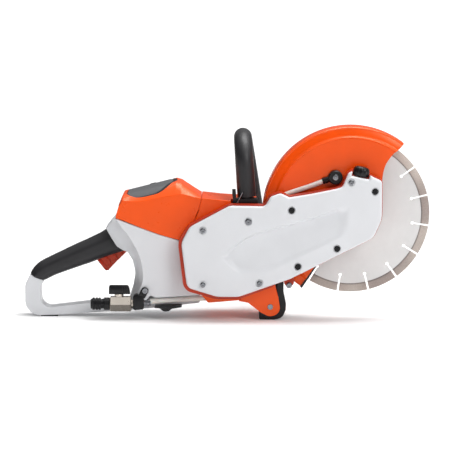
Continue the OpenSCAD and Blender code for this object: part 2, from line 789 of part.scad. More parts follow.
// Clamp block that holds the near leg on the motor housing
module handle_mount() {
    color(black) difference() {
        union() {
            box(12, 44, -61.5, -37, 158.3, 176);
            slab([[7, 183], [7, 190], [12, 190], [13, 176], [13, 170], [8, 170], [8, 176]],
                -61.5, -54);
        }
        handle_path(tube_r + eps, near_tube, far_tube, 0);
    }
}

// Bright retaining pin, lying slantwise on the clamp block
module handle_pin() {
    color(silver) translate([14.6, -65.2, 171.6]) rotate([0, 26, 0]) {
        cylinder(r = 1.4, h = 16);
        rotate([-90, 0, 0]) cylinder(r = 1, h = 3.68);
    }
}

// ---------------------------------------------------------------- feet

foot_pin_r = 4;
bracket_y0 = -69;
bracket_y1 = 17;
module foot_bracket() {
    cheek = 6;
    color(orange) difference() {
        union() {
            slab(bracket_pts, bracket_y0, bracket_y0 + cheek);
            slab(bracket_pts, bracket_y1 - cheek, bracket_y1);
            slab(concat(raised(foot_seam, -0.1), [[66, 46], [24, 29], [17.2, 28]]),
                bracket_y0, bracket_y1);
        }
        rod(foot_pivot[0], foot_pivot[1], foot_pin_r + eps, bracket_y0 - 1, bracket_y1 + 1);
    }
}

module front_foot() {
    color(black) difference() {
        union() {
            slab(foot_pts, -61.5, 10);
            slab(rounded([[50, 8, 0], [50, 22, 4], [56, 29, 4], [70, 29, 4], [77, 20, 0],
                [74, 8, 0]]), -50, 0);
        }
        rod(foot_pivot[0], foot_pivot[1], foot_pin_r + eps, -70, 20);
    }
}

module foot_pin() {
    color(silver) rod(foot_pivot[0], foot_pivot[1], foot_pin_r, -70.5, 18);
}

// ---------------------------------------------------------------- spindle and wheel

module spindle_bearings() {
    color(silver) {
        tube(wheel_x, spindle_z, bearing_r, shaft_r + run_gap, -66, -55);
        tube(wheel_x, spindle_z, bearing_r, shaft_r + run_gap, -49, -38.2);
    }
}

module guard_circlip() {
    color(silver) difference() {
        tube(wheel_x, spindle_z, 29, 22.2 + eps, -45.8, -44);
        box(wheel_x - 4, wheel_x + 4, -50, -40, spindle_z - 40, spindle_z);
    }
}

module spindle() {
    color(silver) difference() {
        rod(wheel_x, spindle_z, shaft_r, pulley_y0 - 1, wheel_y + 3.2);
        rod(wheel_x, spindle_z, 4 + eps, -50, 0);
    }
}

module driven_pulley() {
    color(grey) difference() {
        rod(wheel_x, spindle_z, driven_r, pulley_y0, pulley_y1);
        tube(wheel_x, spindle_z, driven_r - 5, 12, pulley_y0 + 7, pulley_y1 + 1);
        rod(wheel_x, spindle_z, shaft_r + eps, pulley_y0 - 1, pulley_y1 + 1);
    }
}

core_y0 = wheel_y - core_t / 2;
core_y1 = wheel_y + core_t / 2;
module inner_flange() {
    color(silver) difference() {
        union() {
            rod(wheel_x, spindle_z, flange_r, core_y0 - 7, core_y0);
            rod(wheel_x, spindle_z, arbor_r, core_y0 - 1, core_y1 + 1.6);
        }
        tube(wheel_x, spindle_z, flange_r - 9, arbor_r, core_y0 - 0.8, core_y0 + 0.5);
        rod(wheel_x, spindle_z, shaft_r + eps, core_y0 - 10, core_y1 + 10);
    }
}

// Slots run in from the rim to round holes
module wheel_slots() {
    for (i = [0:segment_n - 1])
        translate([wheel_x, wheel_y, spindle_z]) rotate([0, -36 - 360 * i / segment_n, 0]) {
            translate([core_r - 11.5, -5, -slot_w / 2]) cube([40, 10, slot_w]);
            translate([core_r - 11.5, 5, 0]) rotate([90, 0, 0])
                cylinder(r = slot_w * 0.8, h = 10);
        }
}

module blade_core() {
    color([0.80, 0.80, 0.81]) difference() {
        rod(wheel_x, spindle_z, core_r, core_y0, core_y1);
        rod(wheel_x, spindle_z, arbor_d / 2, core_y0 - 1, core_y1 + 1);
        wheel_slots();
    }
}

module blade_segments() {
    color([0.60, 0.55, 0.52]) difference() {
        tube(wheel_x, spindle_z, wheel_r, core_r + 0.01, wheel_y - segment_t / 2,
            wheel_y + segment_t / 2);
        wheel_slots();
    }
}

module outer_flange() {
    color(silver) difference() {
        rod(wheel_x, spindle_z, flange_r, core_y1, core_y1 + 7);
        rod(wheel_x, spindle_z, flange_r - 9, core_y1 - 1, core_y1 + 0.8);
        rod(wheel_x, spindle_z, arbor_r + run_gap, core_y1 - 1, core_y1 + 2.2);
        rod(wheel_x, spindle_z, 4 + eps, core_y1 - 1, core_y1 + 20);
    }
}

module blade_screw() {
    y = core_y1 + 7 + eps;
    color(silver) {
        rod(wheel_x, spindle_z, 13, y, y + 2.5);
        translate([wheel_x, y + 9, spindle_z]) rotate([90, 0, 0]) cylinder(r = 9.8, h = 8, $fn = 6);
        rod(wheel_x, spindle_z, 4, -46, y + 1);
    }
}

module rotor() {
    color(grey) {
        rod(motor_x, motor_z, 21.4, -52, -12);
        rod(motor_x, motor_z, motor_shaft_r, pulley_y0 - 1, 26);
    }
}

module motor_pulley() {
    color(silver) tube(motor_x, motor_z, driver_r, motor_shaft_r + eps, pulley_y0, pulley_y1);
}

module cooling_fan() {
    blades = 9;
    color(black) difference() {
        union() {
            rod(motor_x, motor_z, 34, 8, 10);
            rod(motor_x, motor_z, 10, 8, 22);
            for (i = [0:blades - 1]) translate([motor_x, 9, motor_z])
                rotate([0, 360 * i / blades, 0]) translate([8, 0, -1]) cube([26, 12, 2]);
        }
        rod(motor_x, motor_z, motor_shaft_r + eps, 5, 30);
    }
}

// ---------------------------------------------------------------- guard

guard_wall = 2.5;
guard_profile = [
    [34, guard_y0], [112.5, guard_y0], [115, guard_y0 + 1.4], [guard_r - 5, guard_y0 + 2],
    [guard_r - 1.4, guard_y0 + 5], [guard_r, guard_y0 + 8.5], [guard_r, guard_y1 - 7],
    [guard_r - 1.5, guard_y1 - 2.5], [guard_r - 5, guard_y1], [72, guard_y1],
    [72, guard_y1 - guard_wall], [guard_r - 5.8, guard_y1 - guard_wall],
    [guard_r - guard_wall, guard_y1 - 7.5], [guard_r - guard_wall, guard_y0 + 9.5],
    [guard_r - 6.5, guard_y0 + 4.6], [113.5, guard_y0 + 4], [111.5, guard_y0 + guard_wall],
    [34, guard_y0 + guard_wall],
];
module guard_shell() {
    collar = [[hub_r + run_gap, guard_y0], [35, guard_y0], [35, guard_y0 + guard_wall],
        [31, guard_y0 + guard_wall], [31, -46 - eps], [hub_r + run_gap, -46 - eps]];
    color(orange) difference() {
        union() {
            revolve(guard_profile, guard_front_a, guard_rear_a);
            revolve(collar, 0, 360);
        }
        rod(elbow_at[0], elbow_at[1], 4 + eps, guard_y0 - 1, guard_y0 + 5);
        // The front edge of the right-hand wall is drawn back
        slab([[300, 250], [252, 250], [236, 240], [229, 226], [225, 209], [221, 190], [212, 176],
            [300, 176]], guard_y0 - 1, guard_y0 + 4.7);
    }
}

// Rubber lip on the guard's rear edge
module guard_lip() {
    color(black) revolve([[70, guard_y0 + 0.2], [guard_r, guard_y0 + 0.2], [guard_r, guard_y1],
        [guard_r - 4, guard_y1], [guard_r - 4, guard_y0 + 5], [70, guard_y0 + 5]],
        guard_rear_a + 0.02, guard_rear_a + 1.4);
}

// Banjo elbow on the guard, with the socket that the spray hose pushes into
module water_elbow() {
    color(black) difference() {
        union() {
            rod(elbow_at[0], elbow_at[1], elbow_r, -66, guard_y0 - eps);
            rod(elbow_at[0], elbow_at[1], 4, guard_y0 - 1, guard_y0 + 4);
            translate([elbow_at[0], spray_route[11][1], elbow_at[1]]) rotate([0, -106.6, 0])
                cylinder(r = 3.8, h = 24);
        }
        rod(elbow_at[0], elbow_at[1], 2 + eps, -70, guard_y0 + 2);
    }
}

module elbow_screw() {
    color(silver) screw(elbow_at[0], elbow_at[1], -67.2, 1, 4.6, 1.2 - eps, 2, 14);
}

// Jets on the inside of the guard's right-hand wall
module spray_nozzle() {
    color(silver) for (a = [0, 26]) translate([wheel_x, 0, spindle_z]) rotate([0, a, 0])
        translate([elbow_at[0] - wheel_x, 0, elbow_at[1] - spindle_z])
            rod(0, 0, 5, a == 0 ? guard_y0 + 4 + eps : guard_y0 + guard_wall + eps, guard_y0 + 8);
}

module guard_knob() {
    color(black) knob_axis() {
        translate([0, 0, 1.2]) cylinder(r = 11.4, h = 12);
        translate([0, 0, 1.2]) cylinder(r = 10, h = 14);
        translate([0, 0, -11]) cylinder(r = 3, h = 14);
    }
}

rear_housing_right();
rear_housing_left();
handle_grip();
battery_shroud();
front_shroud();
motor_housing();
motor_cover();
air_filter();
drive_housing();
belt_cover();
silver_screws();
black_screws();
housing_screws();
drive_belt();
motor_stator();
motor_bearings();
control_unit();
battery_bay();
battery_terminal();
trigger_switch();
pivot_pins();
spindle_bearings();
guard_circlip();
water_coupling();
valve_body();
valve_clamp();
hose_fitting();
supply_hose();
spray_hose();
hose_clip();
front_handle_tube();
front_handle_sleeve();
handle_mount();
handle_pin();
foot_bracket();
front_foot();
foot_pin();
rear_foot_pad();
spindle();
driven_pulley();
inner_flange();
blade_core();
blade_segments();
outer_flange();
blade_screw();
rotor();
cooling_fan();
motor_pulley();
guard_shell();
guard_lip();
water_elbow();
elbow_screw();
spray_nozzle();
guard_knob();
trigger();
lockout_lever();
battery_pack();
battery_button();
valve_lever();
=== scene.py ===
"""Looks of the battery cut-off saw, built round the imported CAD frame.

Outlines are (x, z) pairs in millimetres in the row frame, as in the CAD source; every mesh is made
in metres. +X is forward to the wheel, -Y is the belt side that faces the camera, +Z is up.
"""

import json
import math

import bmesh
import bpy
import numpy as np
from mathutils import Matrix, Vector
from mathutils.geometry import delaunay_2d_cdt


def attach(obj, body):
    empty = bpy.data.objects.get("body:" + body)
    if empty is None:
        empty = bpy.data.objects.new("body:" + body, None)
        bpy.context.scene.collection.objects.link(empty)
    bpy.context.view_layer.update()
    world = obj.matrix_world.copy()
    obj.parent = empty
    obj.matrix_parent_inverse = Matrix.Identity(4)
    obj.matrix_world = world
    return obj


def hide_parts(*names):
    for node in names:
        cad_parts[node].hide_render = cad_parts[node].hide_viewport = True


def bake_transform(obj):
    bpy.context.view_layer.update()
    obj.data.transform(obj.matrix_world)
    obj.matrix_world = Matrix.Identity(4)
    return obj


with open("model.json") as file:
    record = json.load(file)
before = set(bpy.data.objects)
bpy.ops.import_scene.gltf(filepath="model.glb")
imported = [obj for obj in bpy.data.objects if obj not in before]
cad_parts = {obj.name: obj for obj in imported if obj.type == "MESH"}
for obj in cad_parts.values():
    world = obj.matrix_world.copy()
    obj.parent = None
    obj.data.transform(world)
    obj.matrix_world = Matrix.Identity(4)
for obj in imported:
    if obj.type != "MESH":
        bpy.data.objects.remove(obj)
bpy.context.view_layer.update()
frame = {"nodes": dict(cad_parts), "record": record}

MM = 0.001
SPINDLE_X, SPINDLE_Z = 179, 152
SPINDLE = Vector((SPINDLE_X, -28, SPINDLE_Z)) * MM

# ---------- small mesh tools


def corner(a, b, c, steps):
    """The arc that rounds corner b, which is (x, z, radius)."""
    p = np.array(b[:2], float)
    u, w = np.array(a[:2], float) - p, np.array(c[:2], float) - p
    lu, lw = np.linalg.norm(u), np.linalg.norm(w)
    u, w = u / lu, w / lw
    half = math.acos(max(-1, min(1, float(u @ w)))) / 2
    radius = b[2] if len(b) > 2 else 0
    if radius <= 0 or half > math.radians(89.5):
        return [tuple(p)]
    t = min(radius / math.tan(half), 0.49 * min(lu, lw))
    r = t * math.tan(half)
    o = p + (u + w) / np.linalg.norm(u + w) * r / math.sin(half)
    s, e = p + u * t - o, p + w * t - o
    a0 = math.atan2(s[1], s[0])
    da = math.atan2(s[0] * e[1] - s[1] * e[0], float(s @ e))
    return [(o[0] + r * math.cos(a0 + da * i / steps), o[1] + r * math.sin(a0 + da * i / steps))
            for i in range(steps + 1)]


def rounded(points, steps=8):
    n = len(points)
    out = []
    for i in range(n):
        out += corner(points[i - 1], points[i], points[(i + 1) % n], steps)
    return out


def smooth_line(points, n):
    """n points on a Catmull-Rom spline through points."""
    p = [np.array(q, float) for q in points]
    p = [2 * p[0] - p[1]] + p + [2 * p[-1] - p[-2]]
    out = []
    spans = len(p) - 3
    for k in range(n):
        s = k * spans / (n - 1)
        i = min(int(s), spans - 1)
        t = s - i
        a, b, c, d = p[i : i + 4]
        out.append(0.5 * (2 * b + (c - a) * t + (2 * a - 5 * b + 4 * c - d) * t**2
                          + (3 * b - a - 3 * c + d) * t**3))
    return out


def resample(outline, step):
    """The closed outline with points at most step apart."""
    out = []
    for a, b in zip(outline, outline[1:] + outline[:1]):
        a, b = np.array(a, float), np.array(b, float)
        m = max(1, int(math.ceil(np.linalg.norm(b - a) / step)))
        out += [tuple(a + (b - a) * k / m) for k in range(m)]
    return out


def line_distance(points, line):
    """Distance of each point to the open line."""
    p, q = np.asarray(points, float), np.asarray(line, float)
    best = np.full(len(p), 1e9)
    for a, b in zip(q, q[1:]):
        v = b - a
        t = np.clip(((p - a) @ v) / max(v @ v, 1e-12), 0, 1)
        best = np.minimum(best, np.linalg.norm(p - a - t[:, None] * v, axis=1))
    return best


def edge_distance(points, outline):
    """Distance of each point to the closed outline, positive inside it."""
    p, q = np.asarray(points, float), np.asarray(outline, float)
    best = line_distance(p, np.vstack([q, q[:1]]))
    inside = np.zeros(len(p), bool)
    for s, e in zip(q, np.roll(q, -1, 0)):
        if s[1] != e[1]:
            crosses = (s[1] > p[:, 1]) != (e[1] > p[:, 1])
            inside ^= crosses & (p[:, 0] < (e[0] - s[0]) * (p[:, 1] - s[1]) / (e[1] - s[1]) + s[0])
    return np.where(inside, best, -best)


def smoothstep(t):
    t = np.clip(t, 0, 1)
    return t * t * (3 - 2 * t)


def finish_mesh(name, bm, sharp=35):
    bmesh.ops.recalc_face_normals(bm, faces=bm.faces[:])
    for f in bm.faces:
        f.smooth = True
    mesh = bpy.data.meshes.new(name)
    bm.to_mesh(mesh)
    bm.free()
    mesh.set_sharp_from_angle(angle=math.radians(sharp))
    obj = bpy.data.objects.new(name, mesh)
    bpy.context.scene.collection.objects.link(obj)
    return obj


def bevel(obj, width, segments=3, angle=30):
    m = obj.modifiers.new("edges", "BEVEL")
    m.width = width * MM
    m.segments = segments
    m.limit_method = "ANGLE"
    m.angle_limit = math.radians(angle)
    m.use_clamp_overlap = True
    n = obj.modifiers.new("normals", "WEIGHTED_NORMAL")
    n.keep_sharp = True
    return obj


def prism_mesh(bm, outline, y0, y1):
    front = [bm.verts.new((x * MM, y0 * MM, z * MM)) for x, z in outline]
    back = [bm.verts.new((x * MM, y1 * MM, z * MM)) for x, z in outline]
    bm.faces.new(front)
    bm.faces.new(back[::-1])
    n = len(outline)
    for i in range(n):
        bm.faces.new((front[i], front[(i + 1) % n], back[(i + 1) % n], back[i]))


def prism(name, outline, y0, y1, edge=0, segments=3):
    bm = bmesh.new()
    prism_mesh(bm, outline, y0, y1)
    obj = finish_mesh(name, bm)
    if edge:
        bevel(obj, edge, segments)
    return obj


def loft(name, rings, sharp=35):
    """Closed skin over rings of equally many points, given in metres."""
    bm = bmesh.new()
    rows = [[bm.verts.new(p) for p in ring] for ring in rings]
    n = len(rows[0])
    for a, b in zip(rows, rows[1:]):
        for i in range(n):
            j = (i + 1) % n
            bm.faces.new((a[i], a[j], b[j], b[i]))
    bm.faces.new(rows[0][::-1])
    bm.faces.new(rows[-1])
    return finish_mesh(name, bm, sharp)


def frame_of(axis):
    """Rotation that takes +Z to the axis."""
    z = Vector(axis).normalized()
    x = Vector((0, 1, 0)).cross(z)
    x = x.normalized() if x.length > 1e-6 else Vector((1, 0, 0))
    return Matrix((x, z.cross(x), z)).transposed()


def lathe(name, profile, origin, axis=(0, 1, 0), steps=96, shape=None, sharp=35):
    """Profile of (radius, height) turned about the axis.

    shape(angle, radius, height) may give another radius."""
    turn = frame_of(axis)
    rings = []
    for r, h in profile:
        ring = []
        for k in range(steps):
            a = 2 * math.pi * k / steps
            rr = shape(a, r, h) if shape else r
            ring.append(Vector(origin) + turn @ Vector(
                (rr * MM * math.cos(a), rr * MM * math.sin(a), h * MM)))
        rings.append(ring)
    return loft(name, rings, sharp)


def relief(name, outline, height, y_back, grid=2.5, detail=(), rings=(0.35, 0.9, 1.8, 3.2)):
    """Plate with a modelled face: height(points, edge distance) gives the face's y.

    Points lie on the outline, on rings inside it, on a grid, and where detail asks for them.
    """
    rim = resample(outline, grid)
    area = sum(a[0] * b[1] - b[0] * a[1] for a, b in zip(rim, rim[1:] + rim[:1])) / 2
    side = 1 if area > 0 else -1
    r = np.array(rim)
    tangent = np.roll(r, -1, 0) - np.roll(r, 1, 0)
    into = np.stack([-tangent[:, 1], tangent[:, 0]], 1) * side
    into /= np.linalg.norm(into, axis=1)[:, None]
    extra = []
    for d in rings:
        p = r + into * d
        extra.append(p[edge_distance(p, rim) > 0.93 * d])
    lo, hi = r.min(0), r.max(0)
    gx, gz = np.meshgrid(np.arange(lo[0], hi[0], grid), np.arange(lo[1], hi[1], grid * 0.87))
    gx = gx + (np.arange(gx.shape[0]) % 2)[:, None] * grid / 2
    g = np.stack([gx.ravel(), gz.ravel()], 1)
    extra.append(g[edge_distance(g, rim) > rings[-1] + 0.4 * grid])
    if len(detail):
        p = np.asarray(detail, float)
        extra.append(p[edge_distance(p, rim) > 0.3])
    points = np.concatenate([r] + extra)
    n = len(rim)
    verts, _, faces, *_ = delaunay_2d_cdt(
        [Vector(p) for p in points], [(i, (i + 1) % n) for i in range(n)], [], 1, 1e-4
    )
    xz = np.array([tuple(v) for v in verts])
    y = height(xz, np.maximum(edge_distance(xz, rim), 0))
    bm = bmesh.new()
    front = [bm.verts.new((p[0] * MM, q * MM, p[1] * MM)) for p, q in zip(xz, y)]
    back = [bm.verts.new((p[0] * MM, y_back * MM, p[1] * MM)) for p in xz]
    used = {}
    for f in faces:
        bm.faces.new([front[i] for i in f])
        bm.faces.new([back[i] for i in f][::-1])
        for i, j in zip(f, f[1:] + f[:1]):
            used[(i, j)] = True
    for i, j in used:
        if (j, i) not in used:
            bm.faces.new((front[i], back[i], back[j], front[j]))
    loose = [v for v in bm.verts if not v.link_faces]
    bmesh.ops.delete(bm, geom=loose, context="VERTS")
    return finish_mesh(name, bm)


def edge_round(d, r):
    """How far a rounded edge of radius r falls back at distance d from the rim."""
    k = np.clip(r - d, 0, r)
    return r - np.sqrt(r * r - k * k)


def apply_modifiers(obj):
    """obj with its modifiers worked into its mesh."""
    bpy.context.view_layer.update()
    shape = bpy.data.meshes.new_from_object(
        obj.evaluated_get(bpy.context.evaluated_depsgraph_get()))
    obj.modifiers.clear()
    obj.data = shape
    return obj


def cut(obj, *tools, operation="DIFFERENCE"):
    """obj less the tools, which are used up."""
    for tool in tools:
        m = obj.modifiers.new("cut", "BOOLEAN")
        m.operation, m.solver, m.object = operation, "EXACT", tool
    apply_modifiers(obj)
    for tool in tools:
        bpy.data.objects.remove(tool)
    bm = bmesh.new()
    bm.from_mesh(obj.data)
    bmesh.ops.remove_doubles(bm, verts=bm.verts[:], dist=1e-6)
    bmesh.ops.dissolve_degenerate(bm, edges=bm.edges[:], dist=1e-6)
    for f in bm.faces:
        f.smooth = True
    bm.to_mesh(obj.data)
    bm.free()
    obj.data.set_sharp_from_angle(angle=math.radians(35))
    return obj


def inward(outline):
    """Unit-offset directions into the outline, mitred at the corners."""
    p = np.array(outline, float)
    before, after = p - np.roll(p, 1, 0), np.roll(p, -1, 0) - p
    before /= np.maximum(np.linalg.norm(before, axis=1), 1e-9)[:, None]
    after /= np.maximum(np.linalg.norm(after, axis=1), 1e-9)[:, None]
    area = np.sum(p[:, 0] * np.roll(p[:, 1], -1) - np.roll(p[:, 0], -1) * p[:, 1])
    side = 1 if area > 0 else -1
    n1 = np.stack([-before[:, 1], before[:, 0]], 1) * side
    n2 = np.stack([-after[:, 1], after[:, 0]], 1) * side
    n = n1 + n2
    return n / np.maximum((n * n1).sum(1), 0.3)[:, None]


def inset(outline, d):
    """The outline moved inwards by d, without the loops that tight corners would make."""
    p = np.array(outline, float) + inward(outline) * d
    return [tuple(q) for q in p[edge_distance(p, np.array(outline, float)) > 0.9 * d - 0.01]]


def mirrored(obj, name, plane_y):
    """A copy of the mesh on the other side of a plane across Y."""
    bm = bmesh.new()
    bm.from_mesh(obj.data)
    for v in bm.verts:
        v.co.y = 2 * plane_y * MM - v.co.y
    bmesh.ops.reverse_faces(bm, faces=bm.faces[:])
    return finish_mesh(name, bm)


def joined(name, objects):
    """One mesh of the objects, which are used up."""
    bm = bmesh.new()
    for o in objects:
        bm.from_mesh(o.data)
        bpy.data.objects.remove(o)
    return finish_mesh(name, bm)


def circle_points(x, z, radii):
    return [(x + r * math.cos(math.pi * k / 18), z + r * math.sin(math.pi * k / 18))
            for r in radii for k in range(36)]


def tube_along(name, points, radius, sides=28):
    """Round solid tube in metres along points."""
    p = [Vector(q) for q in points]
    rings = []
    x = None
    for i, c in enumerate(p):
        t = (p[min(i + 1, len(p) - 1)] - p[max(i - 1, 0)]).normalized()
        if x is None:
            x = t.orthogonal()
        x = (x - t * x.dot(t)).normalized()
        y = t.cross(x)
        rings.append([c + radius * (math.cos(a) * x + math.sin(a) * y)
                      for a in (2 * math.pi * k / sides for k in range(sides))])
    return loft(name, rings)


# ---------- materials


class Graph:
    """A material's nodes, with short ways to add the ones used here."""

    def __init__(self, name):
        self.material = bpy.data.materials.new(name)
        self.material.use_nodes = True
        self.tree = self.material.node_tree
        self.tree.nodes.clear()
        self.out = self.tree.nodes.new("ShaderNodeOutputMaterial")
        self.shader = self.tree.nodes.new("ShaderNodeBsdfPrincipled")
        self.tree.links.new(self.shader.outputs[0], self.out.inputs[0])
        self.place = self.tree.nodes.new("ShaderNodeTexCoord").outputs["Object"]

    def node(self, kind, inputs=None, **settings):
        n = self.tree.nodes.new("ShaderNode" + kind)
        for k, v in settings.items():
            setattr(n, k, v)
        for k, v in (inputs or {}).items():
            self.put(n.inputs[k], v)
        return n

    def put(self, socket, value):
        if isinstance(value, bpy.types.NodeSocket):
            self.tree.links.new(value, socket)
        else:
            socket.default_value = (*value, 1) if socket.type == "RGBA" else value

    def noise(self, scale, detail=2, rough=0.5, stretch=None):
        at = self.place
        if stretch:
            at = self.node("Mapping", {"Vector": at, "Scale": stretch}).outputs[0]
        return self.node("TexNoise", {"Vector": at, "Scale": scale, "Detail": detail,
                                      "Roughness": rough}).outputs["Fac"]

    def span(self, value, low, high, a=0.3, b=0.7):
        """value from a..b mapped to low..high."""
        return self.node("MapRange", {0: value, 1: a, 2: b, 3: low, 4: high}).outputs[0]

    def blend(self, factor, a, b):
        return self.node("Mix", {0: factor, 6: a, 7: b}, data_type="RGBA").outputs[2]

    def math(self, operation, a, b):
        return self.node("Math", {0: a, 1: b}, operation=operation).outputs[0]

    def bump(self, height, depth_mm, strength=1.0, normal=None):
        inputs = {"Height": height, "Distance": depth_mm * MM, "Strength": strength}
        if normal:
            inputs["Normal"] = normal
        return self.node("Bump", inputs).outputs[0]

    def radius(self, centre):
        """Distance from the axis along Y through centre."""
        local = self.node("VectorMath", {0: self.place, 1: centre}, operation="SUBTRACT").outputs[0]
        flat = self.node("VectorMath", {0: local, 1: (1, 0, 1)}, operation="MULTIPLY").outputs[0]
        return self.node("VectorMath", {0: flat}, operation="LENGTH").outputs["Value"]

    def set(self, **values):
        for k, v in values.items():
            self.put(self.shader.inputs[k.replace("_", " ")], v)
        return self.material


def moulded(name, color, rough, grain=1600, grain_depth=0.02, shift=0.05, shine=0.5,
            tint=(1, 1, 1)):
    """Moulded plastic, rubber or paint: fine grain, slow colour drift, uneven gloss."""
    g = Graph(name)
    drift = g.noise(22, 3, 0.55)
    dark = tuple(c * (1 - shift) for c in color)
    light = tuple(min(1, c * (1 + shift * 0.6)) for c in color)
    base = g.blend(g.span(drift, 0, 1), dark, light)
    speck = g.noise(grain, 2, 0.6)
    smear = g.noise(90, 4, 0.6)
    return g.set(
        Base_Color=base,
        Roughness=g.span(smear, rough * 0.88, rough * 1.14),
        Normal=g.bump(speck, grain_depth, 0.6),
        Specular_IOR_Level=shine,
        Specular_Tint=tint,
    )


def bare_metal(name, color, rough, stretch=(1, 1, 1), scale=700, depth=0.015, under=1.0):
    """Metal with a directional finish, handling marks and a little dullness.

    under is how much of the colour the faces that point down keep, as painted shade."""
    g = Graph(name)
    brushed = g.noise(scale, 3, 0.6, stretch=stretch)
    stain = g.noise(45, 4, 0.6)
    base = g.blend(g.span(stain, 0, 1), tuple(c * 0.86 for c in color), color)
    # Faces that point down are darkened: painted shade under the part
    facing = g.node("SeparateXYZ", {0: g.tree.nodes.new("ShaderNodeTexCoord").outputs["Normal"]})
    base = g.blend(g.span(facing.outputs[2], 1, 0, -0.55, -0.25), base,
                   tuple(c * under for c in color))
    return g.set(
        Base_Color=base,
        Metallic=1.0,
        Roughness=g.math("ADD", g.span(brushed, rough * 0.75, rough * 1.25),
                         g.span(stain, -0.04, 0.05)),
        Normal=g.bump(brushed, depth, 0.5),
    )


def turned(name, color, rough, centre, metallic=1.0, depth=0.012):
    """Metal turned or ground about an axis along Y through centre: fine rings."""
    g = Graph(name)
    radius = g.radius(centre)
    ring = g.node("TexNoise", {"W": radius, "Scale": 2600, "Detail": 3, "Roughness": 0.7},
                  noise_dimensions="1D").outputs["Fac"]
    wide = g.node("TexNoise", {"W": radius, "Scale": 110, "Detail": 1},
                  noise_dimensions="1D").outputs["Fac"]
    stain = g.noise(28, 4, 0.6)
    base = g.blend(g.span(stain, 0, 1), tuple(c * 0.93 for c in color), color)
    return g.set(
        Base_Color=base,
        Metallic=metallic,
        Roughness=g.math("ADD", g.span(ring, rough * 0.7, rough * 1.3),
                         g.span(wide, -0.012, 0.012)),
        Normal=g.bump(ring, depth, 0.35),
    )


def sintered(name, centre, inner):
    """Diamond segments: warm grey bond with grit in it, darker where it is welded on."""
    g = Graph(name)
    radius = g.radius(centre)
    grit = g.node("TexVoronoi", {"Vector": g.place, "Scale": 900, "Randomness": 1.0}).outputs
    fine = g.noise(1500, 3, 0.7)
    batch = g.noise(17, 1, 0.4)
    base = g.blend(g.span(batch, 0, 1, 0.35, 0.65), (0.34, 0.285, 0.26), (0.56, 0.50, 0.45))
    base = g.blend(g.span(grit["Distance"], 0.35, 0, 0.1, 0.5), base, (0.62, 0.56, 0.50))
    base = g.blend(g.span(fine, 0, 0.4, 0.45, 0.7), base, (0.16, 0.13, 0.12))
    base = g.blend(g.span(radius, 0.75, 0, inner, inner + 0.0026), base, (0.10, 0.095, 0.10))
    return g.set(
        Base_Color=base,
        Metallic=0.25,
        Roughness=g.span(fine, 0.5, 0.72),
        Normal=g.bump(grit["Distance"], 0.10, 0.5, g.bump(fine, 0.04, 0.5)),
    )


def hose_material():
    g = Graph("milky_hose")
    thread = g.noise(500, 2, 0.5, stretch=(0.12, 1, 1))
    drift = g.noise(60, 3, 0.5)
    base = g.blend(g.span(drift, 0, 1), (0.60, 0.58, 0.54), (0.74, 0.73, 0.69))
    base = g.blend(g.span(thread, 0, 0.3, 0.5, 0.72), base, (0.46, 0.44, 0.41))
    return g.set(
        Base_Color=base, Roughness=g.span(thread, 0.28, 0.42), Normal=g.bump(thread, 0.05, 0.5),
        Subsurface_Weight=0.2, Subsurface_Scale=0.003, Coat_Weight=0.25, Coat_Roughness=0.15,
    )


MAT = {
    "white_plastic": moulded("white_plastic", (0.66, 0.668, 0.69), 0.36, 1500, 0.02, 0.03,
                             shine=0.4),
    "orange_plastic": moulded("orange_plastic", (0.86, 0.078, 0.002), 0.30, 1700, 0.012, 0.06,
                              tint=(1, 0.8, 0.55)),
    # A darker orange: painted shade for the drive housing's rim
    "orange_painted_shade": moulded("orange_painted_shade", (0.42, 0.028, 0.010), 0.36, 1500, 0.03, 0.1,
                              tint=(1, 0.75, 0.6)),
    "trigger_plastic": moulded("trigger_plastic", (0.40, 0.014, 0.004), 0.28, 1700, 0.012, 0.1,
                               tint=(1, 0.7, 0.5)),
    "orange_metal": moulded("orange_metal", (0.84, 0.074, 0.002), 0.24, 1200, 0.02, 0.07,
                            tint=(1, 0.8, 0.55)),
    "grip_rubber": moulded("grip_rubber", (0.015, 0.0147, 0.0165), 0.44, 2200, 0.05, 0.16,
                           shine=0.4),
    "black_plastic": moulded("black_plastic", (0.006, 0.006, 0.007), 0.30, 1800, 0.02, 0.15,
                             shine=0.3),
    "grey_plastic": moulded("grey_plastic", (0.085, 0.088, 0.094), 0.5, 1300, 0.05, 0.08),
    "black_steel": moulded("black_steel", (0.006, 0.006, 0.007), 0.34, 1500, 0.02, 0.15,
                           shine=0.25),
    "bright_steel": bare_metal("bright_steel", (0.21, 0.215, 0.23), 0.2),
    "machined_steel": turned("machined_steel", (0.56, 0.56, 0.57), 0.30, SPINDLE),
    # The valve body's downward faces keep a fifth of its colour: painted shade
    "nickel_brass": bare_metal("nickel_brass", (0.66, 0.60, 0.53), 0.34, (1, 3, 3), 240, 0.0005,
                               under=0.2),
    "aluminium": bare_metal("aluminium", (0.66, 0.66, 0.68), 0.38, (1, 1, 1), 900, 0.03),
    "motor_steel": bare_metal("motor_steel", (0.22, 0.21, 0.21), 0.45, (1, 40, 1), 200, 0.06),
    "blade_steel": turned("blade_steel", (0.70, 0.695, 0.69), 0.42, SPINDLE, 0.55, 0.004),
    "diamond_segment": sintered("diamond_segment", SPINDLE, 0.103),
    "hose_white": hose_material(),
}

SLOT_OF = {s["node"]: s["material_slot"] for s in frame["record"]["subparts"]}

# Nodes that look different from the rest of their slot; the drive housing's darker orange is
# painted shade on its rim, which sits in the recess round the cover
LOOK_OF = {"drive_housing": "orange_painted_shade"}

# Rounding of the edges of the CAD nodes that stay, in millimetres
SOFT_EDGE = {
    "front_shroud": 1.2, "motor_housing": 1.2, "motor_cover": 1.2, "drive_housing": 0.7,
    "foot_bracket": 0.7, "handle_mount": 0.8,
}


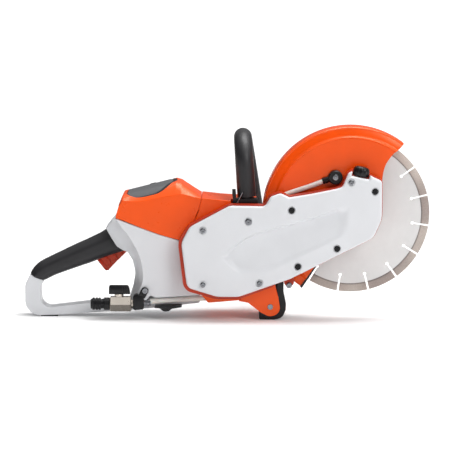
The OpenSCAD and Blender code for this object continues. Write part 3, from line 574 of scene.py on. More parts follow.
def dress(name):
    """A CAD node that stays: its slot's material, and rounded edges from modifiers."""
    obj = frame["nodes"][name]
    obj.data.materials.clear()
    obj.data.materials.append(MAT[LOOK_OF.get(name, SLOT_OF[name])])
    weld = obj.modifiers.new("weld", "WELD")
    weld.merge_threshold = 1e-5
    flat = obj.modifiers.new("flat", "DECIMATE")
    flat.decimate_type = "DISSOLVE"
    flat.angle_limit = math.radians(0.6)
    bevel(obj, SOFT_EDGE.get(name, 0.3), 3 if name in SOFT_EDGE else 2)


def give(obj, slot, body, *nodes, look=None):
    """Finish of a new piece: its slot's material, its body, and the CAD nodes it stands for hidden.
    """
    obj.data.materials.append(MAT[look or slot])
    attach(obj, body)
    if nodes:
        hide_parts(*nodes)
    return obj


# ---------- stage

scene = bpy.context.scene
scene.view_settings.view_transform = "Standard"

TARGET = Vector((3.84, -30.79, 127.55)) * MM
camera_data = bpy.data.cameras.new("camera")
camera_data.lens = 188.1
camera_data.sensor_width = 36
camera = bpy.data.objects.new("camera", camera_data)
scene.collection.objects.link(camera)
elevation, distance = math.radians(6.5), 3.5
camera.location = TARGET + distance * Vector((0, -math.cos(elevation), math.sin(elevation)))
camera.rotation_euler = (math.radians(90) - elevation, 0, 0)
camera_data.clip_end = 200
scene.camera = camera

# The floor glows, faintly near the saw and more further out: painted light that whitens the far
# floor and leaves the shade under the saw darker
floor_graph = Graph("floor_paper")
paper = floor_graph.noise(8, 3)
away = floor_graph.node("VectorMath", {0: floor_graph.place}, operation="LENGTH").outputs["Value"]
floor_graph.set(
    Base_Color=floor_graph.blend(floor_graph.span(paper, 0, 1), (0.91, 0.91, 0.91),
                                 (0.93, 0.93, 0.93)),
    Roughness=0.9, Specular_IOR_Level=0.1,
    Emission_Color=(1, 1, 1), Emission_Strength=floor_graph.span(away, 0.10, 0.6, 0.3, 3.0),
)
bm = bmesh.new()
bmesh.ops.create_grid(bm, x_segments=1, y_segments=1, size=40)
floor = finish_mesh("floor", bm)
floor.data.materials.append(floor_graph.material)


def softbox(name, where, aim, size, power):
    light = bpy.data.lights.new(name, "AREA")
    light.shape = "RECTANGLE"
    light.size, light.size_y = size
    light.energy = power
    obj = bpy.data.objects.new(name, light)
    obj.location = where
    obj.rotation_euler = (Vector(aim) - Vector(where)).to_track_quat("-Z", "Y").to_euler()
    scene.collection.objects.link(obj)


softbox("top_light", (0.25, 0.12, 1.35), (0.02, -0.04, 0.12), (1.1, 0.8), 16)
softbox("key_light", (1.3, -1.9, 1.5), (0.1, -0.05, 0.12), (0.8, 0.8), 21)

world = bpy.data.worlds.new("studio")
scene.world = world
world.use_nodes = True
nodes, links = world.node_tree.nodes, world.node_tree.links
nodes.clear()
sky_out = nodes.new("ShaderNodeOutputWorld")
sky = nodes.new("ShaderNodeBackground")
links.new(sky.outputs[0], sky_out.inputs[0])
split = nodes.new("ShaderNodeSeparateXYZ")
place = nodes.new("ShaderNodeTexCoord")
links.new(place.outputs["Generated"], split.inputs[0])


def sky_ramp(channel, stops):
    """Brightness of the studio walls along one direction."""
    ramp = nodes.new("ShaderNodeValToRGB")
    marks = ramp.color_ramp.elements
    for mark, (at, v) in zip(marks, (stops[0], stops[-1])):
        mark.position, mark.color = at, (v, v, v, 1)
    for at, v in stops[1:-1]:
        marks.new(at).color = (v, v, v, 1)
    shift = nodes.new("ShaderNodeMapRange")
    shift.inputs[1].default_value, shift.inputs[2].default_value = -1, 1
    links.new(split.outputs[channel], shift.inputs[0])
    links.new(shift.outputs[0], ramp.inputs[0])
    return ramp.outputs[0]


glow = sky_ramp(2, [(0.0, 0.35), (0.5, 0.36), (0.72, 0.5), (0.88, 2.6), (1.0, 3.0)])
across = sky_ramp(0, [(0.0, 0.22), (0.3, 0.6), (0.5, 1.0), (1.0, 1.25)])
depth = sky_ramp(1, [(0.0, 0.6), (0.35, 0.95), (1.0, 1.0)])
for factor in (across, depth):
    both = nodes.new("ShaderNodeMix")
    both.data_type, both.blend_type = "RGBA", "MULTIPLY"
    both.inputs[0].default_value = 1
    links.new(glow, both.inputs[6])
    links.new(factor, both.inputs[7])
    glow = both.outputs[2]
links.new(glow, sky.inputs["Color"])
sky.inputs["Strength"].default_value = 0.44

# ---------- CAD nodes

for name in frame["nodes"]:
    dress(name)

# ---------- belt cover

KNOB = np.array((190, 209.5))
LEAN = math.radians(12)


def knob_pt(u, s):
    c, d = math.cos(LEAN), math.sin(LEAN)
    return (KNOB[0] + u * c + s * d, KNOB[1] - u * d + s * c, 0.8)


COVER = rounded([
    (3, 169, 8), (-54, 138.5, 18), (-66, 116, 20), (-58, 51, 12), (-15, 38, 40), (16, 38, 30),
    (90, 64, 30), (209, 123, 20), (221, 150, 40), (221, 204.5, 5), (212, 208.5, 6),
    knob_pt(13, 6), knob_pt(13, 0), knob_pt(-13, 0), knob_pt(-13, 7), (173, 216, 5),
    (165, 196, 8), (155, 193, 10), (120, 186, 30), (89, 181, 6), (76, 187, 8), (62, 182, 8),
    (54, 168, 8),
], 10)
RECESS_OUTER = rounded([
    (-13, 96, 6), (-3.5, 103.5, 6), (11, 113.5, 20), (25, 123.2, 20), (41, 130.3, 40),
    (82, 142.5, 60), (132, 156.8, 60), (178, 174.5, 3), (177.2, 136, 16), (167, 126, 14),
    (60, 72, 40), (30, 71, 14), (12, 72, 16),
])
RECESS_INNER = rounded([
    (1, 97, 5), (12, 110.2, 20), (26, 119.8, 20), (41, 126.2, 40), (82, 138.4, 60),
    (132, 152.8, 60), (156.6, 160.5, 1.5), (155, 127, 10), (62, 86, 60), (33, 81.6, 12),
    (17, 82, 12),
])
RECESS_DEPTH = 6.4
SWEEP_BACK = 3.4  # how far the cover's lower rear corner falls back
LAND_R, LAND_DEPTH = 5.6, 1.2  # flat seat round each screw
SILVER_SCREWS = [(-35, 134), (-35, 56), (46, 58), (30, 147), (177, 203)]
BLACK_SCREWS = [(92, 163), (101, 82), (157, 108), (211, 190)]
FACE_Y = -97.0


def cover_height(p, d):
    """Face of the belt cover: swelling, recess, swept-back corner and screw seats."""
    fall = 0.9 * (1 - smoothstep(d / 26))
    y = FACE_Y + edge_round(d, 3.0) + fall
    # t runs from 0 at the recess's rim to 1 on its floor
    out, inner = np.clip(edge_distance(p, RECESS_OUTER), 0, None), edge_distance(p, RECESS_INNER)
    t = np.where(inner > 0, 1, out / (out + np.clip(-inner, 1e-6, None)))
    # The recess is shallow along its lower edge, a line that climbs forward
    above = (p[:, 1] - 72 - (p[:, 0] - 60) * 0.505) * 0.893
    share = 0.3 + 0.7 * smoothstep((above + 4) / 46)
    y += RECESS_DEPTH * smoothstep(np.clip(1.3 * t - 0.15, 0, 1)) * share
    y += SWEEP_BACK * smoothstep((20 - p[:, 0]) / 85) * smoothstep((110 - p[:, 1]) / 75)
    for x, z in SILVER_SCREWS + BLACK_SCREWS:
        away = np.hypot(p[:, 0] - x, p[:, 1] - z)
        seat = FACE_Y + LAND_DEPTH * smoothstep((LAND_R - away) / 0.6) + fall
        y = np.where(away < LAND_R, np.maximum(y, seat), y)
    return y


detail = []
for x, z in SILVER_SCREWS + BLACK_SCREWS:
    detail += circle_points(x, z, (3, 4.3, 5.0, 5.3, LAND_R, 6.2))
for line in (RECESS_OUTER, RECESS_INNER):
    detail += resample(line, 1.6)
give(relief("belt_cover_moulded", COVER, cover_height, -86, 2.6, detail),
     "white_plastic", "saw_body", "belt_cover")


# ---------- battery and its shroud

MID_Y = -10.0
CROWN_FALL, FLAT_HALF, FALL_WIDTH = 13.5, 30, 22
BATTERY_CROWN = 1.12  # the battery's crown, as a share of the shroud's
WALL, HALF_WIDTH = 2.6, 52
# Half length, half width and corner radius, in the slot's frame
MOUTH, SEAL, HOLE = (37.6, 47.6, 36), (37.3, 47.3, 36), (33.9, 46.3, 33.8)
CAP, PACK = (33.6, 46.0, 33.5), (34.4, 42.5, 22)
BAY, WELL = (36.8, 47.8, 3), (35.4, 46.4, 3)
SHROUD_REAR, CAP_REAR = 17, 15  # corner radii at the back
CAP_SHIFT = -2.3
SLOT_AT = Vector((-109, MID_Y, 188)) * MM
SLOT_TURN = Matrix.Rotation(math.radians(-14), 3, "Y")


def slot_prism(name, half_x, half_y, radius, z0, z1, edge=0.0, rear=None):
    """Upright block in the battery slot's frame.

    radius rounds its corners, and rear those at the back if it is given."""
    rear = rear or radius
    plan = rounded([(-half_x, -half_y, rear), (half_x, -half_y, radius),
                    (half_x, half_y, radius), (-half_x, half_y, rear)], 10)
    obj = loft(name, [[SLOT_AT + SLOT_TURN @ (Vector((x, y, z)) * MM) for x, y in plan]
                      for z in (z0, z1)])
    return bevel(obj, edge) if edge else obj


SHROUD = rounded([
    (-161.5, 148.4, 0), (-157, 168, 14), (-151.5, 180.6, 5), (-74, 199.6, 4), (-66.5, 197.5, 6),
    (-37.5, 178, 1), (-41.8, 160, 12), (-48.8, 143, 12), (-56.3, 117, 0), (-69, 116.2, 0),
    (-97, 124.2, 0), (-126, 134.9, 0), (-153, 145.9, 0),
])


def shoulder(s):
    """How far the crowned top has fallen at distance s from the middle plane."""
    return CROWN_FALL * (max(0, s - FLAT_HALF) / FALL_WIDTH) ** 2


def shoulder_share(x, z):
    """Share of that fall for a point of the side outline: all of it on the top only."""
    top = 180.6 + (x + 151.5) * 19.0 / 77.5
    if x > -74:
        top = 199.6 - (x + 74) * 21.6 / 36.5
        share = 1.3 - 1.2 * min(1, (x + 74) / 36)
    else:
        share = float(np.interp(x, (-152, -140, -122, -100, -74), (0.5, 0.8, 1.1, 1.15, 1.3)))
    return share * max(0, 1 - max(0, top - z) / 22)


def hump(name, back, half):
    """The crowned shroud's solid, set in by back and half its width to each side."""
    outline = resample(inset(SHROUD, back) if back else SHROUD, 3.0)
    lower = np.array([shoulder_share(*q) for q in outline])
    cuts = np.linspace(28, half, 9)
    rings = []
    for s in (*-cuts[::-1], *cuts):
        rings.append([Vector((x, MID_Y + s, z - k * shoulder(abs(s)))) * MM
                      for (x, z), k in zip(outline, lower)])
    return loft(name, rings)


shroud = apply_modifiers(bevel(hump("battery_shroud_moulded", 0, HALF_WIDTH), 2.6, 5))
hollow = hump("hollow", WALL, HALF_WIDTH - WALL)
belly = prism("belly", [(-150, 100), (-150, 150), (-60, 126), (-60, 100)], -59.4, 39.4)
mouth = slot_prism("mouth", *MOUTH, -100, 40, rear=SHROUD_REAR)
cut(shroud, hollow, belly, mouth)
bevel(shroud, 1.3, 3, 50)
give(shroud, "orange_plastic", "saw_body", "battery_shroud")

SKIRT = rounded([
    (-36.5, 177.6, 1), (-10, 174.7, 10), (4.6, 173.7, 1), (4.6, 150, 0), (-20, 140, 0),
    (-50, 122, 0), (-54.4, 121, 0), (-47.6, 143, 12), (-40.5, 160, 12),
], 6)
give(prism("front_shroud_skirt", SKIRT, -62.6, -60.4, 0.6), "orange_plastic", "saw_body")


def crown(name, top, bottom=-30):
    """Block under the battery's crowned top, in the slot's frame."""
    rings = []
    for y in np.linspace(-50, 50, 61):
        z = top - BATTERY_CROWN * shoulder(abs(y))
        rings.append([SLOT_AT + SLOT_TURN @ (Vector((u, y, v)) * MM)
                      for u, v in ((-60, bottom), (60, bottom), (60, z), (-60, z))])
    return loft(name, rings)


def slot_shift(obj, dx):
    """Move a piece along the slot's own X axis, in millimetres."""
    obj.data.transform(Matrix.Translation(SLOT_TURN @ Vector((dx * MM, 0, 0))))
    return obj


cap = slot_shift(slot_prism("battery_cap", *CAP, -22, 20, rear=CAP_REAR), CAP_SHIFT)
cut(cap, crown("crown", 3.0), operation="INTERSECT")
bevel(cap, 1.0, 3, 40)
give(cap, "grey_plastic", "battery", "battery_pack")
seal = slot_prism("battery_seal", *SEAL, -20, 20, rear=SHROUD_REAR)
cut(seal, slot_shift(slot_prism("hole", *HOLE, -30, 30, rear=CAP_REAR), CAP_SHIFT))
cut(seal, crown("crown", 2.0, -16), operation="INTERSECT")
give(seal, "black_plastic", "saw_body")
pack = slot_prism("battery_body", *PACK, -138, -20, 1.2)
for y in (-18, -6, 6, 18):
    contact = slot_prism("contact", 9, 1.6, 0.3, -142, -127)
    contact.data.transform(Matrix.Translation(Vector((0, y * MM, 0))))
    cut(pack, contact)
give(pack, "grey_plastic", "battery")
bay = slot_prism("battery_bay_tray", *BAY, -142, -10.5)
cut(bay, slot_prism("well", *WELL, -138.4, 10), slot_prism("opening", 20, 30, 1, -150, -130))
give(bay, "black_plastic", "saw_body", "battery_bay")

BUTTON = SLOT_AT + SLOT_TURN @ Vector((0, 0.030, 0))
give(lathe("battery_button_flush", [(0.4, 3.6), (4.2, 3.5), (5.0, 3.0), (5.0, -3.6), (0.4, -3.6)],
           BUTTON, SLOT_TURN @ Vector((0, 0, 1)), 48), "black_plastic", "button_body",
     "battery_button")

# ---------- white rear housing

NECK_EDGE = [(-177, 131), (-168.1, 115.7), (-160.8, 104), (-152, 98), (-146.3, 96.2),
             (-140.5, 89.3), (-136.2, 80.5), (-134.3, 68.7), (-136.3, 54), (-140, 39.3), (-143, 29)]
CREASE = [(-162, 148.5), (-157.7, 142.7), (-153.4, 135.5), (-143.4, 123.8), (-134.8, 109.3),
          (-127.6, 94.8), (-123.3, 80.2), (-121.9, 68.5), (-122, 58.3), (-124.9, 48.1),
          (-132, 33), (-137, 22)]
HOUSING = rounded([
    (-162, 148, 2), (-126, 134.5, 60), (-97, 123.8, 60), (-69.8, 115.8, 1), (-66.5, 112, 3),
    (-65, 80, 30), (-60, 56, 14), (-50, 44.5, 8), (-39, 38, 1), (-41, 36.6, 1), (-57, 35.2, 10),
    (-73, 33.8, 20), (-90, 32.8, 8), (-105, 32, 5), (-111.5, 36, 5), (-116, 30, 5), (-122, 22, 5),
    (-143, 29, 3), (-137, 47, 20), (-134, 66, 30), (-138, 84, 10), (-145.5, 96, 4), (-152, 98, 3),
    (-161, 104, 4), (-168, 115, 6), (-177, 131, 1.5),
])
SIDE_Y, NECK_STEP = -61.9, 26.0
crease_line = [tuple(q) for q in smooth_line(CREASE, 60)]
neck_line = [tuple(q) for q in smooth_line(NECK_EDGE, 60)]


def housing_height(p, d):
    """Side of the rear housing: flat before the crease, stepped in behind it."""
    crease, neck = line_distance(p, crease_line), line_distance(p, neck_line)
    flat = edge_distance(p, np.array(crease_line + [(-30, 10), (-30, 160)])) > 0
    t = np.where(flat, 0, crease / (crease + neck + 1e-6))
    # The step is steep at the crease and levels out towards the neck
    step = SIDE_Y + NECK_STEP * (1 - (1 - t) ** 2.3)
    bulge = 0.8 * smoothstep(np.clip(p[:, 0] + 122, 0, 60) / 50)
    y = np.where(flat, SIDE_Y - bulge, step)
    return y + edge_round(d, 2.2)


offset_lines = [(x - d, z) for d in (0.8, 1.8, 3.0, 4.5) for x, z in crease_line[1:-1]]
right = relief("housing_right", HOUSING, housing_height, MID_Y - 0.02, 2.6,
               resample(crease_line, 1.2)[:-1] + offset_lines, (0.3, 0.8, 1.5, 2.4))
cavity = prism("cavity", [(-121, 128), (-72.5, 112), (-72.5, 39), (-112, 39), (-118, 60),
                          (-118, 90), (-124, 112)], -58.6, 60)
space = slot_prism("space", 37, 48, 4, -144.2, 40)
swing = prism("swing", [(-163, 99), (-163, 108.5), (-150, 108.5), (-141, 105), (-141, 99),
                        (-146.5, 90), (-150, 92)], -18.4, -1.6)
cut(right, cavity, space, swing)
left = mirrored(right, "housing_left", MID_Y)
give(right, "white_plastic", "saw_body", "rear_housing_right")
give(left, "white_plastic", "saw_body", "rear_housing_left")

LOOP = rounded([
    (-288.8, 61, 0), (-295.6, 47, 20), (-295.6, 0.8, 34), (-240, 2.6, 30), (-130, 10.4, 0),
    (-88, 14.6, 30), (-40, 20.0, 3), (-40, 35.0, 1), (-58, 33.0, 1), (-62, 29, 4), (-128, 27.0, 0),
    (-200, 20.0, 20), (-272.6, 11.6, 17), (-273.6, 44, 20), (-267.7, 52.5, 0),
], 12)
loop = prism("handle_loop", LOOP, -27, 7)
bevel(loop, 4.4, 5, 40)
give(loop, "white_plastic", "saw_body")

# ---------- grip

TOP = smooth_line([(-289.5, 60.5), (-284.5, 69.5), (-275, 78.6), (-260, 86.6), (-245, 93.8),
                   (-231, 100.6), (-216, 107.6), (-201, 114.4), (-187, 121), (-175.2, 129.6)], 40)
BOTTOM = smooth_line([(-267.4, 52.2), (-260, 55.8), (-252, 59.6), (-241, 63.8), (-229, 68),
                      (-216, 72.6), (-201, 77.6), (-186, 83.4), (-168, 90.0), (-146.5, 96.6)], 40)
GRIP_HALF, SQUARE = 18.6, 0.62  # half width, and the section's power: 1 is an ellipse


def grip_rings():
    """Sections of the grip from its rear end to the housing."""
    rings = []
    n = len(TOP)
    for i, (t, b) in enumerate(zip(TOP, BOTTOM)):
        axis = TOP[min(i + 1, n - 1)] - TOP[max(i - 1, 0)]
        axis /= np.linalg.norm(axis)
        front = smoothstep((i - n + 9) / 8)
        shrink = 1.4 if i in (0, n - 1) else 0
        ring = []
        for k in range(48):
            a = 2 * math.pi * (k + 0.5) / 48
            c, w = math.cos(a), math.sin(a)
            # Squarish section, with a flat facet along its upper shoulders
            v = math.copysign(abs(w) ** SQUARE, w)
            u = math.copysign(abs(c) ** SQUARE, c)
            side = GRIP_HALF - 6.0 * max(0, (v - 0.45) / 0.55) - shrink
            half = np.linalg.norm(t - b) / 2 - shrink
            mid = (t + b) / 2
            up = (t - b) / np.linalg.norm(t - b)
            q = mid + up * v * half - axis * front * 4.2 * (1 - v * v) * (1 - 0.25 * v)
            ring.append(Vector((q[0], MID_Y + u * side, q[1])) * MM)
        rings.append(ring)
    return rings


grip = loft("grip_moulded", grip_rings(), sharp=28)
trigger_slot = prism("trigger_slot", [(-193.5, 60), (-142, 60), (-142, 112), (-193.5, 112)],
                     -18, -2)
lock_slot = prism("lock_slot", [(-209, 104), (-172, 104), (-172, 134), (-209, 134)],
                  -16.6, -3.4)
cut(grip, trigger_slot, lock_slot)
bevel(grip, 0.7, 2, 50)
give(grip, "grip_rubber", "saw_body", "handle_grip")

TRIGGER = rounded([
    (-190.8, 88, 1), (-190.8, 81.8, 2), (-180.7, 68.8, 2), (-177.8, 65.8, 2.5), (-174.4, 66.6, 2.5),
    (-161.6, 80, 30), (-147.5, 93.8, 3), (-143.5, 102, 3), (-156, 104, 3),
], 6)
ribs = [prism("rib", [(x, z), (x + 2.2, z + 2.1), (x - 10.4, z + 18.7), (x - 12.6, z + 16.6)],
              -17.4, -2.6, 0.4, 2)
        for x, z in ((-177.6, 66.8), (-169.8, 73.4), (-161.5, 81.6), (-154.4, 88.8))]
pull = [prism("pull", TRIGGER, -16.2, -3.8, 1.4)]
for part in ribs + pull:
    apply_modifiers(part)
for rib in ribs:
    cut(rib, prism("bound", TRIGGER, -20, 0), operation="INTERSECT")


give(joined("trigger_ribbed", ribs + pull), "orange_plastic", "trigger_body", "trigger",
     look="trigger_plastic")
LOCK = rounded([
    (-204.5, 109.5, 2), (-205.5, 112.0, 1), (-187, 120.8, 12), (-178.5, 126.0, 2),
    (-174.5, 121.5, 2), (-180, 114.5, 3),
], 5)
give(prism("lockout_moulded", LOCK, -16.2, -3.8, 1.0), "black_plastic", "lockout_body",
     "lockout_lever")

# ---------- guard

GUARD_PROFILE = [
    (34, -54), (60, -54), (90, -54), (110.6, -54), (111.2, -54.5), (111.9, -54.6), (112.7, -54.1),
    (113.6, -53.2), (114.6, -52.3), (115.6, -51.9), (117, -51.7), (120, -51.0), (123.0, -50.1),
    (124.6, -49.6), (125.4, -49.9), (126.2, -49.8), (126.9, -49.0), (127.6, -46.6),
    (128, -43.5), (128, -36), (128, -22), (128, -9.5), (127.7, -7), (126.9, -4.8), (125.3, -3),
    (123, -2.1), (120, -2), (95, -2), (72.4, -2), (72, -2.3), (72, -4.2), (72.4, -4.5),
    (121.6, -4.5), (124.4, -5.8), (125.5, -9.5), (125.5, -43), (124.4, -46), (121.5, -47.9),
    (115.5, -49.4), (112, -51.2), (110.5, -51.5), (34, -51.5),
]
FRONT_A, REAR_A = math.radians(28), math.radians(235)


def arc_loft(name, profile, a0, a1, steps):
    """A closed (radius, y) section swept about the spindle, from a0 to a1 over the top."""
    rings = []
    for k in range(steps + 1):
        a = a0 + (a1 - a0) * k / steps
        rings.append([Vector((SPINDLE.x + r * MM * math.cos(a), y * MM,
                              SPINDLE.z + r * MM * math.sin(a))) for r, y in profile])
    return loft(name, rings)


guard = arc_loft("guard", GUARD_PROFILE, FRONT_A, REAR_A, 168)
collar = arc_loft("collar", [(24.05, -54), (35, -54), (35, -51.5), (31, -51.5), (31, -46.02),
                             (24.05, -46.02)], 0, 2 * math.pi * 0.9999, 96)
FRONT_EDGE = smooth_line([(258.5, 259), (255.1, 254.9), (251.2, 250.3), (245.3, 244.8),
                          (240.2, 241.0), (235.9, 236.1), (232.2, 231.2), (228.8, 225.4),
                          (226.3, 218.7), (224.7, 211.5), (223.9, 205.7), (223.4, 200), (222, 190),
                          (218, 180), (211, 170)], 60)
nose_cut = prism("nose_cut", [(320, 262)] + [tuple(q) for q in FRONT_EDGE] + [(320, 150)],
                 -56, 0)
ELBOW = Vector((155.8, -54, 207.2)) * MM
pin_hole = lathe("pin_hole", [(4.02, -2), (4.02, 5)], ELBOW, steps=32)
cut(guard, nose_cut, pin_hole)
bevel(guard, 0.5, 3, 50)
give(guard, "orange_metal", "guard", "guard_shell")
give(bevel(collar, 0.3, 2), "orange_metal", "guard")

# ---------- wheel

CORE_R, WHEEL_R, SEGMENTS = 103.0, 115.0, 16
FIRST_SLOT = math.radians(36)
SLOT_HALF, TIP_HALF = 1.3, 1.45  # half the width of a slot, at the core's rim and outside
KEYHOLE_IN, KEYHOLE_R = 11.5, 2.5


def about_spindle(r, a):
    return (SPINDLE_X + r * math.cos(a), SPINDLE_Z + r * math.sin(a))


def core_outline():
    """Disc with keyhole slots between the segments."""
    points = []
    pitch = 2 * math.pi / SEGMENTS
    for i in range(SEGMENTS):
        a = FIRST_SLOT + pitch * i
        wide = SLOT_HALF / CORE_R
        points += [about_spindle(CORE_R, a - pitch + wide + (pitch - 2 * wide) * k / 10)
                   for k in range(11)]
        hole = np.array(about_spindle(CORE_R - KEYHOLE_IN, a))
        for k in range(15):
            turn = a - math.radians(26) - math.radians(308) * k / 14
            points.append(tuple(hole + KEYHOLE_R * np.array((math.cos(turn), math.sin(turn)))))
    return points


core = prism("core_disc", core_outline(), -29.1, -26.9, 0.12, 1)
give(core, "blade_steel", "wheel", "blade_core")
pieces = []
for i in range(SEGMENTS):
    a0 = FIRST_SLOT + 2 * math.pi * i / SEGMENTS
    a1 = a0 + 2 * math.pi / SEGMENTS
    w0, w1 = SLOT_HALF / CORE_R, TIP_HALF / WHEEL_R
    ring = [about_spindle(WHEEL_R, a0 + w1 + (a1 - a0 - 2 * w1) * k / 12) for k in range(13)]
    ring += [about_spindle(CORE_R + 0.02, a1 - w0 - (a1 - a0 - 2 * w0) * k / 12)
             for k in range(13)]
    pieces.append(apply_modifiers(prism("segment", ring, -29.5, -26.5, 0.35, 2)))
give(joined("diamond_rim", pieces), "diamond_segment", "wheel", "blade_segments")

# ---------- front foot

FOOT = rounded([
    (46, 0.6, 2), (68, 0.2, 12), (79.5, 3, 10), (84.5, 14, 12), (85.2, 24, 12), (81.5, 38, 16),
    (81.6, 66, 1), (71, 66, 1), (70.6, 38, 16), (73, 24, 12), (72, 16, 8), (69, 10.6, 6),
    (62, 9, 12), (46, 13, 2),
], 10)
INNER_FOOT = rounded([
    (50, 8, 0), (50, 22, 4), (56, 29, 4), (70, 29, 4), (77, 20, 1), (74, 8, 0),
], 6)
foot = prism("foot", FOOT, -61.5, 10, 2.2, 4)
pad = prism("foot_web", INNER_FOOT, -50, 0, 1.0, 2)
give(foot, "grip_rubber", "saw_body", "front_foot", look="black_plastic")
give(pad, "black_plastic", "saw_body")

# ---------- screws


def torx(a, r):
    """Radius of the six-lobed socket."""
    return r * (1 + 0.13 * math.cos(6 * a))


def screw_head(x, z, y, radius, dome=0.5):
    """Button head with a six-lobed socket, facing -Y."""
    top = -0.95 - dome * 0.5
    rings = []
    for r, h, lobes in ((radius, 0.0, 0), (radius, -0.55, 0), (radius - 0.25, -0.85, 0),
                        (radius * 0.8, -0.95 - dome * 0.3, 0), (radius * 0.55, top, 0),
                        (radius * 0.46, top, 1), (radius * 0.43, -0.4, 1), (radius * 0.1, -0.3, 1)):
        ring = []
        for k in range(48):
            a = 2 * math.pi * k / 48
            q = torx(a, r) if lobes else r
            ring.append(Vector((x + q * math.cos(a), y + h, z + q * math.sin(a))) * MM)
        rings.append(ring)
    return loft("head", rings)


# ---------- water valve

VALVE = Vector((-157, -58, 25)) * MM


def lever_rings():
    """Level sections of the valve's lever: height, both ends and half width."""
    rings = []
    for z, dx0, dx1, w in ((12.6, -14.2, 15.6, 4.8), (13.2, -14.6, 16.4, 5.2),
                           (18, -14.6, 15.6, 5.2), (23.4, -14.4, 14.4, 5.2),
                           (24.6, -14.0, 13.4, 4.8), (25.2, -13.0, 12.2, 4.2)):
        plan = rounded([(dx0, -w, 1.6), (dx1, -w, 2.2), (dx1, w, 2.2), (dx0, w, 1.6)], 4)
        rings.append([VALVE + Vector((x, y, z)) * MM for x, y in plan])
    return rings


lever = loft("valve_thumb_lever", lever_rings())
for i in range(4):
    x = 5.4 + 2.4 * i
    groove = loft("groove", [[VALVE + Vector((x + u, y, z)) * MM for u, z in
                              ((0, 10), (0.9, 10), (0.9, 27), (0, 27))] for y in (-6.4, -4.7)])
    cut(lever, groove)
give(lever, "black_plastic", "valve_handle", "valve_lever")
stem = lathe("valve_stem", [(3, 5), (3, 13.4)], VALVE, (0, 0, 1), 40)
give(stem, "bright_steel", "valve_handle")

HOSE_Y = -58
SUPPLY_R, SPRAY_R = 3.8, 3.5
PIPE = Vector((-157, HOSE_Y, 23.2)) * MM


def hexagon(a, r, h):
    k = math.pi / 3
    return r * math.cos(k / 2) / math.cos(((a + k / 2) % k) - k / 2) if r > 8.5 else r


# Corners lie level, so one runs along the side that is seen
body = lathe("valve_hex", [(4, -13), (8, -13), (10.6, -13), (12.1, -12), (12.1, 17.0), (10.6, 18),
                           (8, 18), (6.4, 18), (6.4, 20.5), (4, 20.5)],
             PIPE, (1, 0, 0), 48, shape=hexagon, sharp=20)
give(body, "nickel_brass", "saw_body", "valve_body")
give(lathe("valve_collar", [(3.1, 9), (6.6, 9), (6.6, 12.0), (6.2, 12.4), (3.1, 12.4)], VALVE,
           (0, 0, 1), 40), "nickel_brass", "saw_body")


def knurl(a, r, h):
    return r * (1 + 0.02 * math.cos(20 * a)) if r > 8 else r


socket = [(4, -41), (6.6, -41), (7.4, -40.4), (7.4, -39), (8.4, -38.6), (8.9, -38), (8.9, -35.4),
          (7.9, -35), (7.9, -34), (8.9, -33.6), (8.9, -31), (7.9, -30.6), (7.9, -29.6),
          (8.9, -29.2), (8.9, -26.6), (6.9, -26), (6.9, -22.4), (8.4, -21.8), (9.0, -21.2),
          (9.0, -14.2), (8.4, -13.4), (4, -13.2)]
give(lathe("hose_socket", socket, PIPE, (1, 0, 0), 80, shape=knurl), "black_plastic", "saw_body",
     "water_coupling")
clamp_body = prism("clamp_body", rounded([
    (-136.6, 14.6, 3), (-136.6, 36, 4), (-130, 38.5, 3), (-120.8, 36, 3), (-120.8, 16, 3)], 5),
    -68, -50, 1.6)
ear = lathe("ear", [(1.9, 0), (4.6, 0), (5.4, 0.8), (5.4, 4.8), (1.9, 4.8)],
            (-0.1194, -0.0668, 0.0428), steps=40)
web = prism("web", [(-131, 30), (-125, 44.5), (-121, 47.6), (-116, 46.8), (-114.4, 41),
                    (-119.5, 32)], -66, -62.4, 0.6, 2)
for part in (clamp_body, ear, web):
    apply_modifiers(part)
give(joined("valve_clamp_moulded", [clamp_body, ear, web]), "black_plastic", "saw_body",
     "valve_clamp")
fitting = lathe("hose_nut", [(3, 20), (5.9, 20), (5.9, 36.5), (5.5, 37), (5.5, 39), (5.0, 39.3),
                             (5.0, 40.2), (5.5, 40.5), (5.5, 44), (4.6, 44.4), (4.6, 46), (3, 46)],
                PIPE + Vector((0, 0, 0.0018)), (1, 0, 0), 48)
give(fitting, "nickel_brass", "saw_body", "hose_fitting", look="bright_steel")
route = smooth_line([(-112, 26.2), (-102, 26.9), (-88, 27.9), (-70, 29.1), (-52, 30.2),
                     (-36, 31.0), (-22, 31.4)], 60)
give(tube_along("supply_hose_smooth", [Vector((x, HOSE_Y + 2.2 * i / 59, z)) * MM
                                       for i, (x, z) in enumerate(route)], SUPPLY_R * MM),
     "hose_white", "saw_body", "supply_hose")

CLIP = rounded([
    (-105.5, 17.4, 0), (-98, 17.0, 4), (-94, 13.4, 4), (-90, 12.0, 6), (-85, 12.6, 6),
    (-80.5, 16.2, 4), (-66, 18.6, 0), (-66, 19.8, 0), (-76, 19.4, 6), (-105.5, 18.8, 0),
], 5)
give(prism("hose_clip_dish", CLIP, -63.5, -34, 0.5, 2), "grey_plastic", "saw_body",
     "hose_clip", look="black_plastic")

# ---------- spray hose, elbow and knob

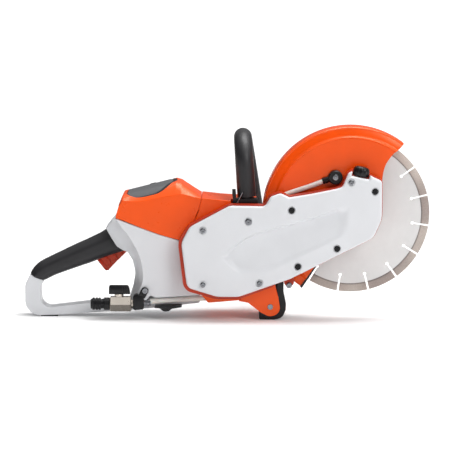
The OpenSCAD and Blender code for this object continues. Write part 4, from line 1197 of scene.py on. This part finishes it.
NECK_DIR = Vector((-0.958, 0, -0.287)).normalized()
disc = lathe("elbow_disc", [(2, 12), (5.2, 12), (5.4, 11.4), (8.8, 11.4), (10.2, 10.2),
                            (10.5, 8.6), (10.5, 0.6), (10.1, 0.1), (2, 0.1)],
             ELBOW, (0, -1, 0), 64)
neck = lathe("elbow_neck", [(2.2, 7), (4.4, 7), (4.4, 13.4), (5.0, 13.8), (5.0, 15.4), (4.1, 15.8),
                            (4.1, 16.8), (5.0, 17.2), (5.0, 18.8), (4.2, 19.4), (2.2, 19.6)],
             ELBOW + Vector((0, -0.004, 0)), NECK_DIR, 48)
give(joined("spray_elbow", [disc, neck]), "black_plastic", "guard", "water_elbow")
elbow_head = lathe("head", [(4.2, -0.1), (4.2, 0.6), (3.7, 1.0), (2.0, 1.1), (1.7, 0.8),
                            (0.2, 0.8)], ELBOW + Vector((0, -0.012, 0)), (0, -1, 0), 48)
elbow_shank = lathe("shank", [(1.9, 0), (1.9, 13)], ELBOW + Vector((0, -0.0118, 0)), steps=20)
give(joined("elbow_pan_screw", [elbow_head, elbow_shank]), "bright_steel", "guard",
     "elbow_screw")
SPRAY = [(70.4, 165.1), (70.9, 169), (72.6, 173.6), (76.6, 178.0), (83, 181.8), (91, 185),
         (100, 188), (110, 191.2), (120, 194.6), (130, 198.4), (138.2, 201.6)]
spray_line = smooth_line(SPRAY, 90)
spray = tube_along("spray_hose_smooth", [Vector((x, HOSE_Y, z)) * MM for x, z in spray_line],
                   SPRAY_R * MM)
spray.data.materials.append(MAT["hose_white"])
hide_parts("spray_hose")
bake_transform(spray)


def lobed(a, r, h):
    return r * (1 + 0.035 * math.cos(12 * a)) if r > 8.6 and 1.4 < h < 13.5 else r


KNOB_AXIS = (math.sin(LEAN), 0, math.cos(LEAN))
cap_rings = [(3.0, -11), (3.0, 1.2), (9.6, 1.25), (10.6, 1.8), (11.3, 3.2), (11.7, 6.0),
             (11.6, 9.0), (11.0, 11.6), (10.2, 13.4), (8.4, 14.7), (8.0, 15.2), (5.0, 15.6),
             (0.4, 15.7)]
give(lathe("guard_knob_cap", cap_rings, Vector((KNOB[0], -82, KNOB[1])) * MM, KNOB_AXIS,
           shape=lobed), "black_plastic", "knob_body", "guard_knob")

# ---------- cover screws


def shanks(places, y):
    return [lathe("shank", [(2, 0), (2, 24), (1.2, 25)], (x * MM, y, z * MM), steps=20)
            for x, z in places]


heads = [screw_head(x, z, FACE_Y, 4.5 if (x, z) == (30, 147) else 3.9) for x, z in SILVER_SCREWS]
heads.append(screw_head(89, 52, -71.4, 4.4))
give(joined("silver_torx_screws", heads + shanks(SILVER_SCREWS, -0.0968)), "bright_steel",
     "saw_body", "silver_screws")
heads = [screw_head(x, z, FACE_Y + 0.1, 4.4, 0.3) for x, z in BLACK_SCREWS]
give(joined("black_torx_screws", heads + shanks(BLACK_SCREWS, -0.0967)), "black_steel",
     "saw_body", "black_screws")
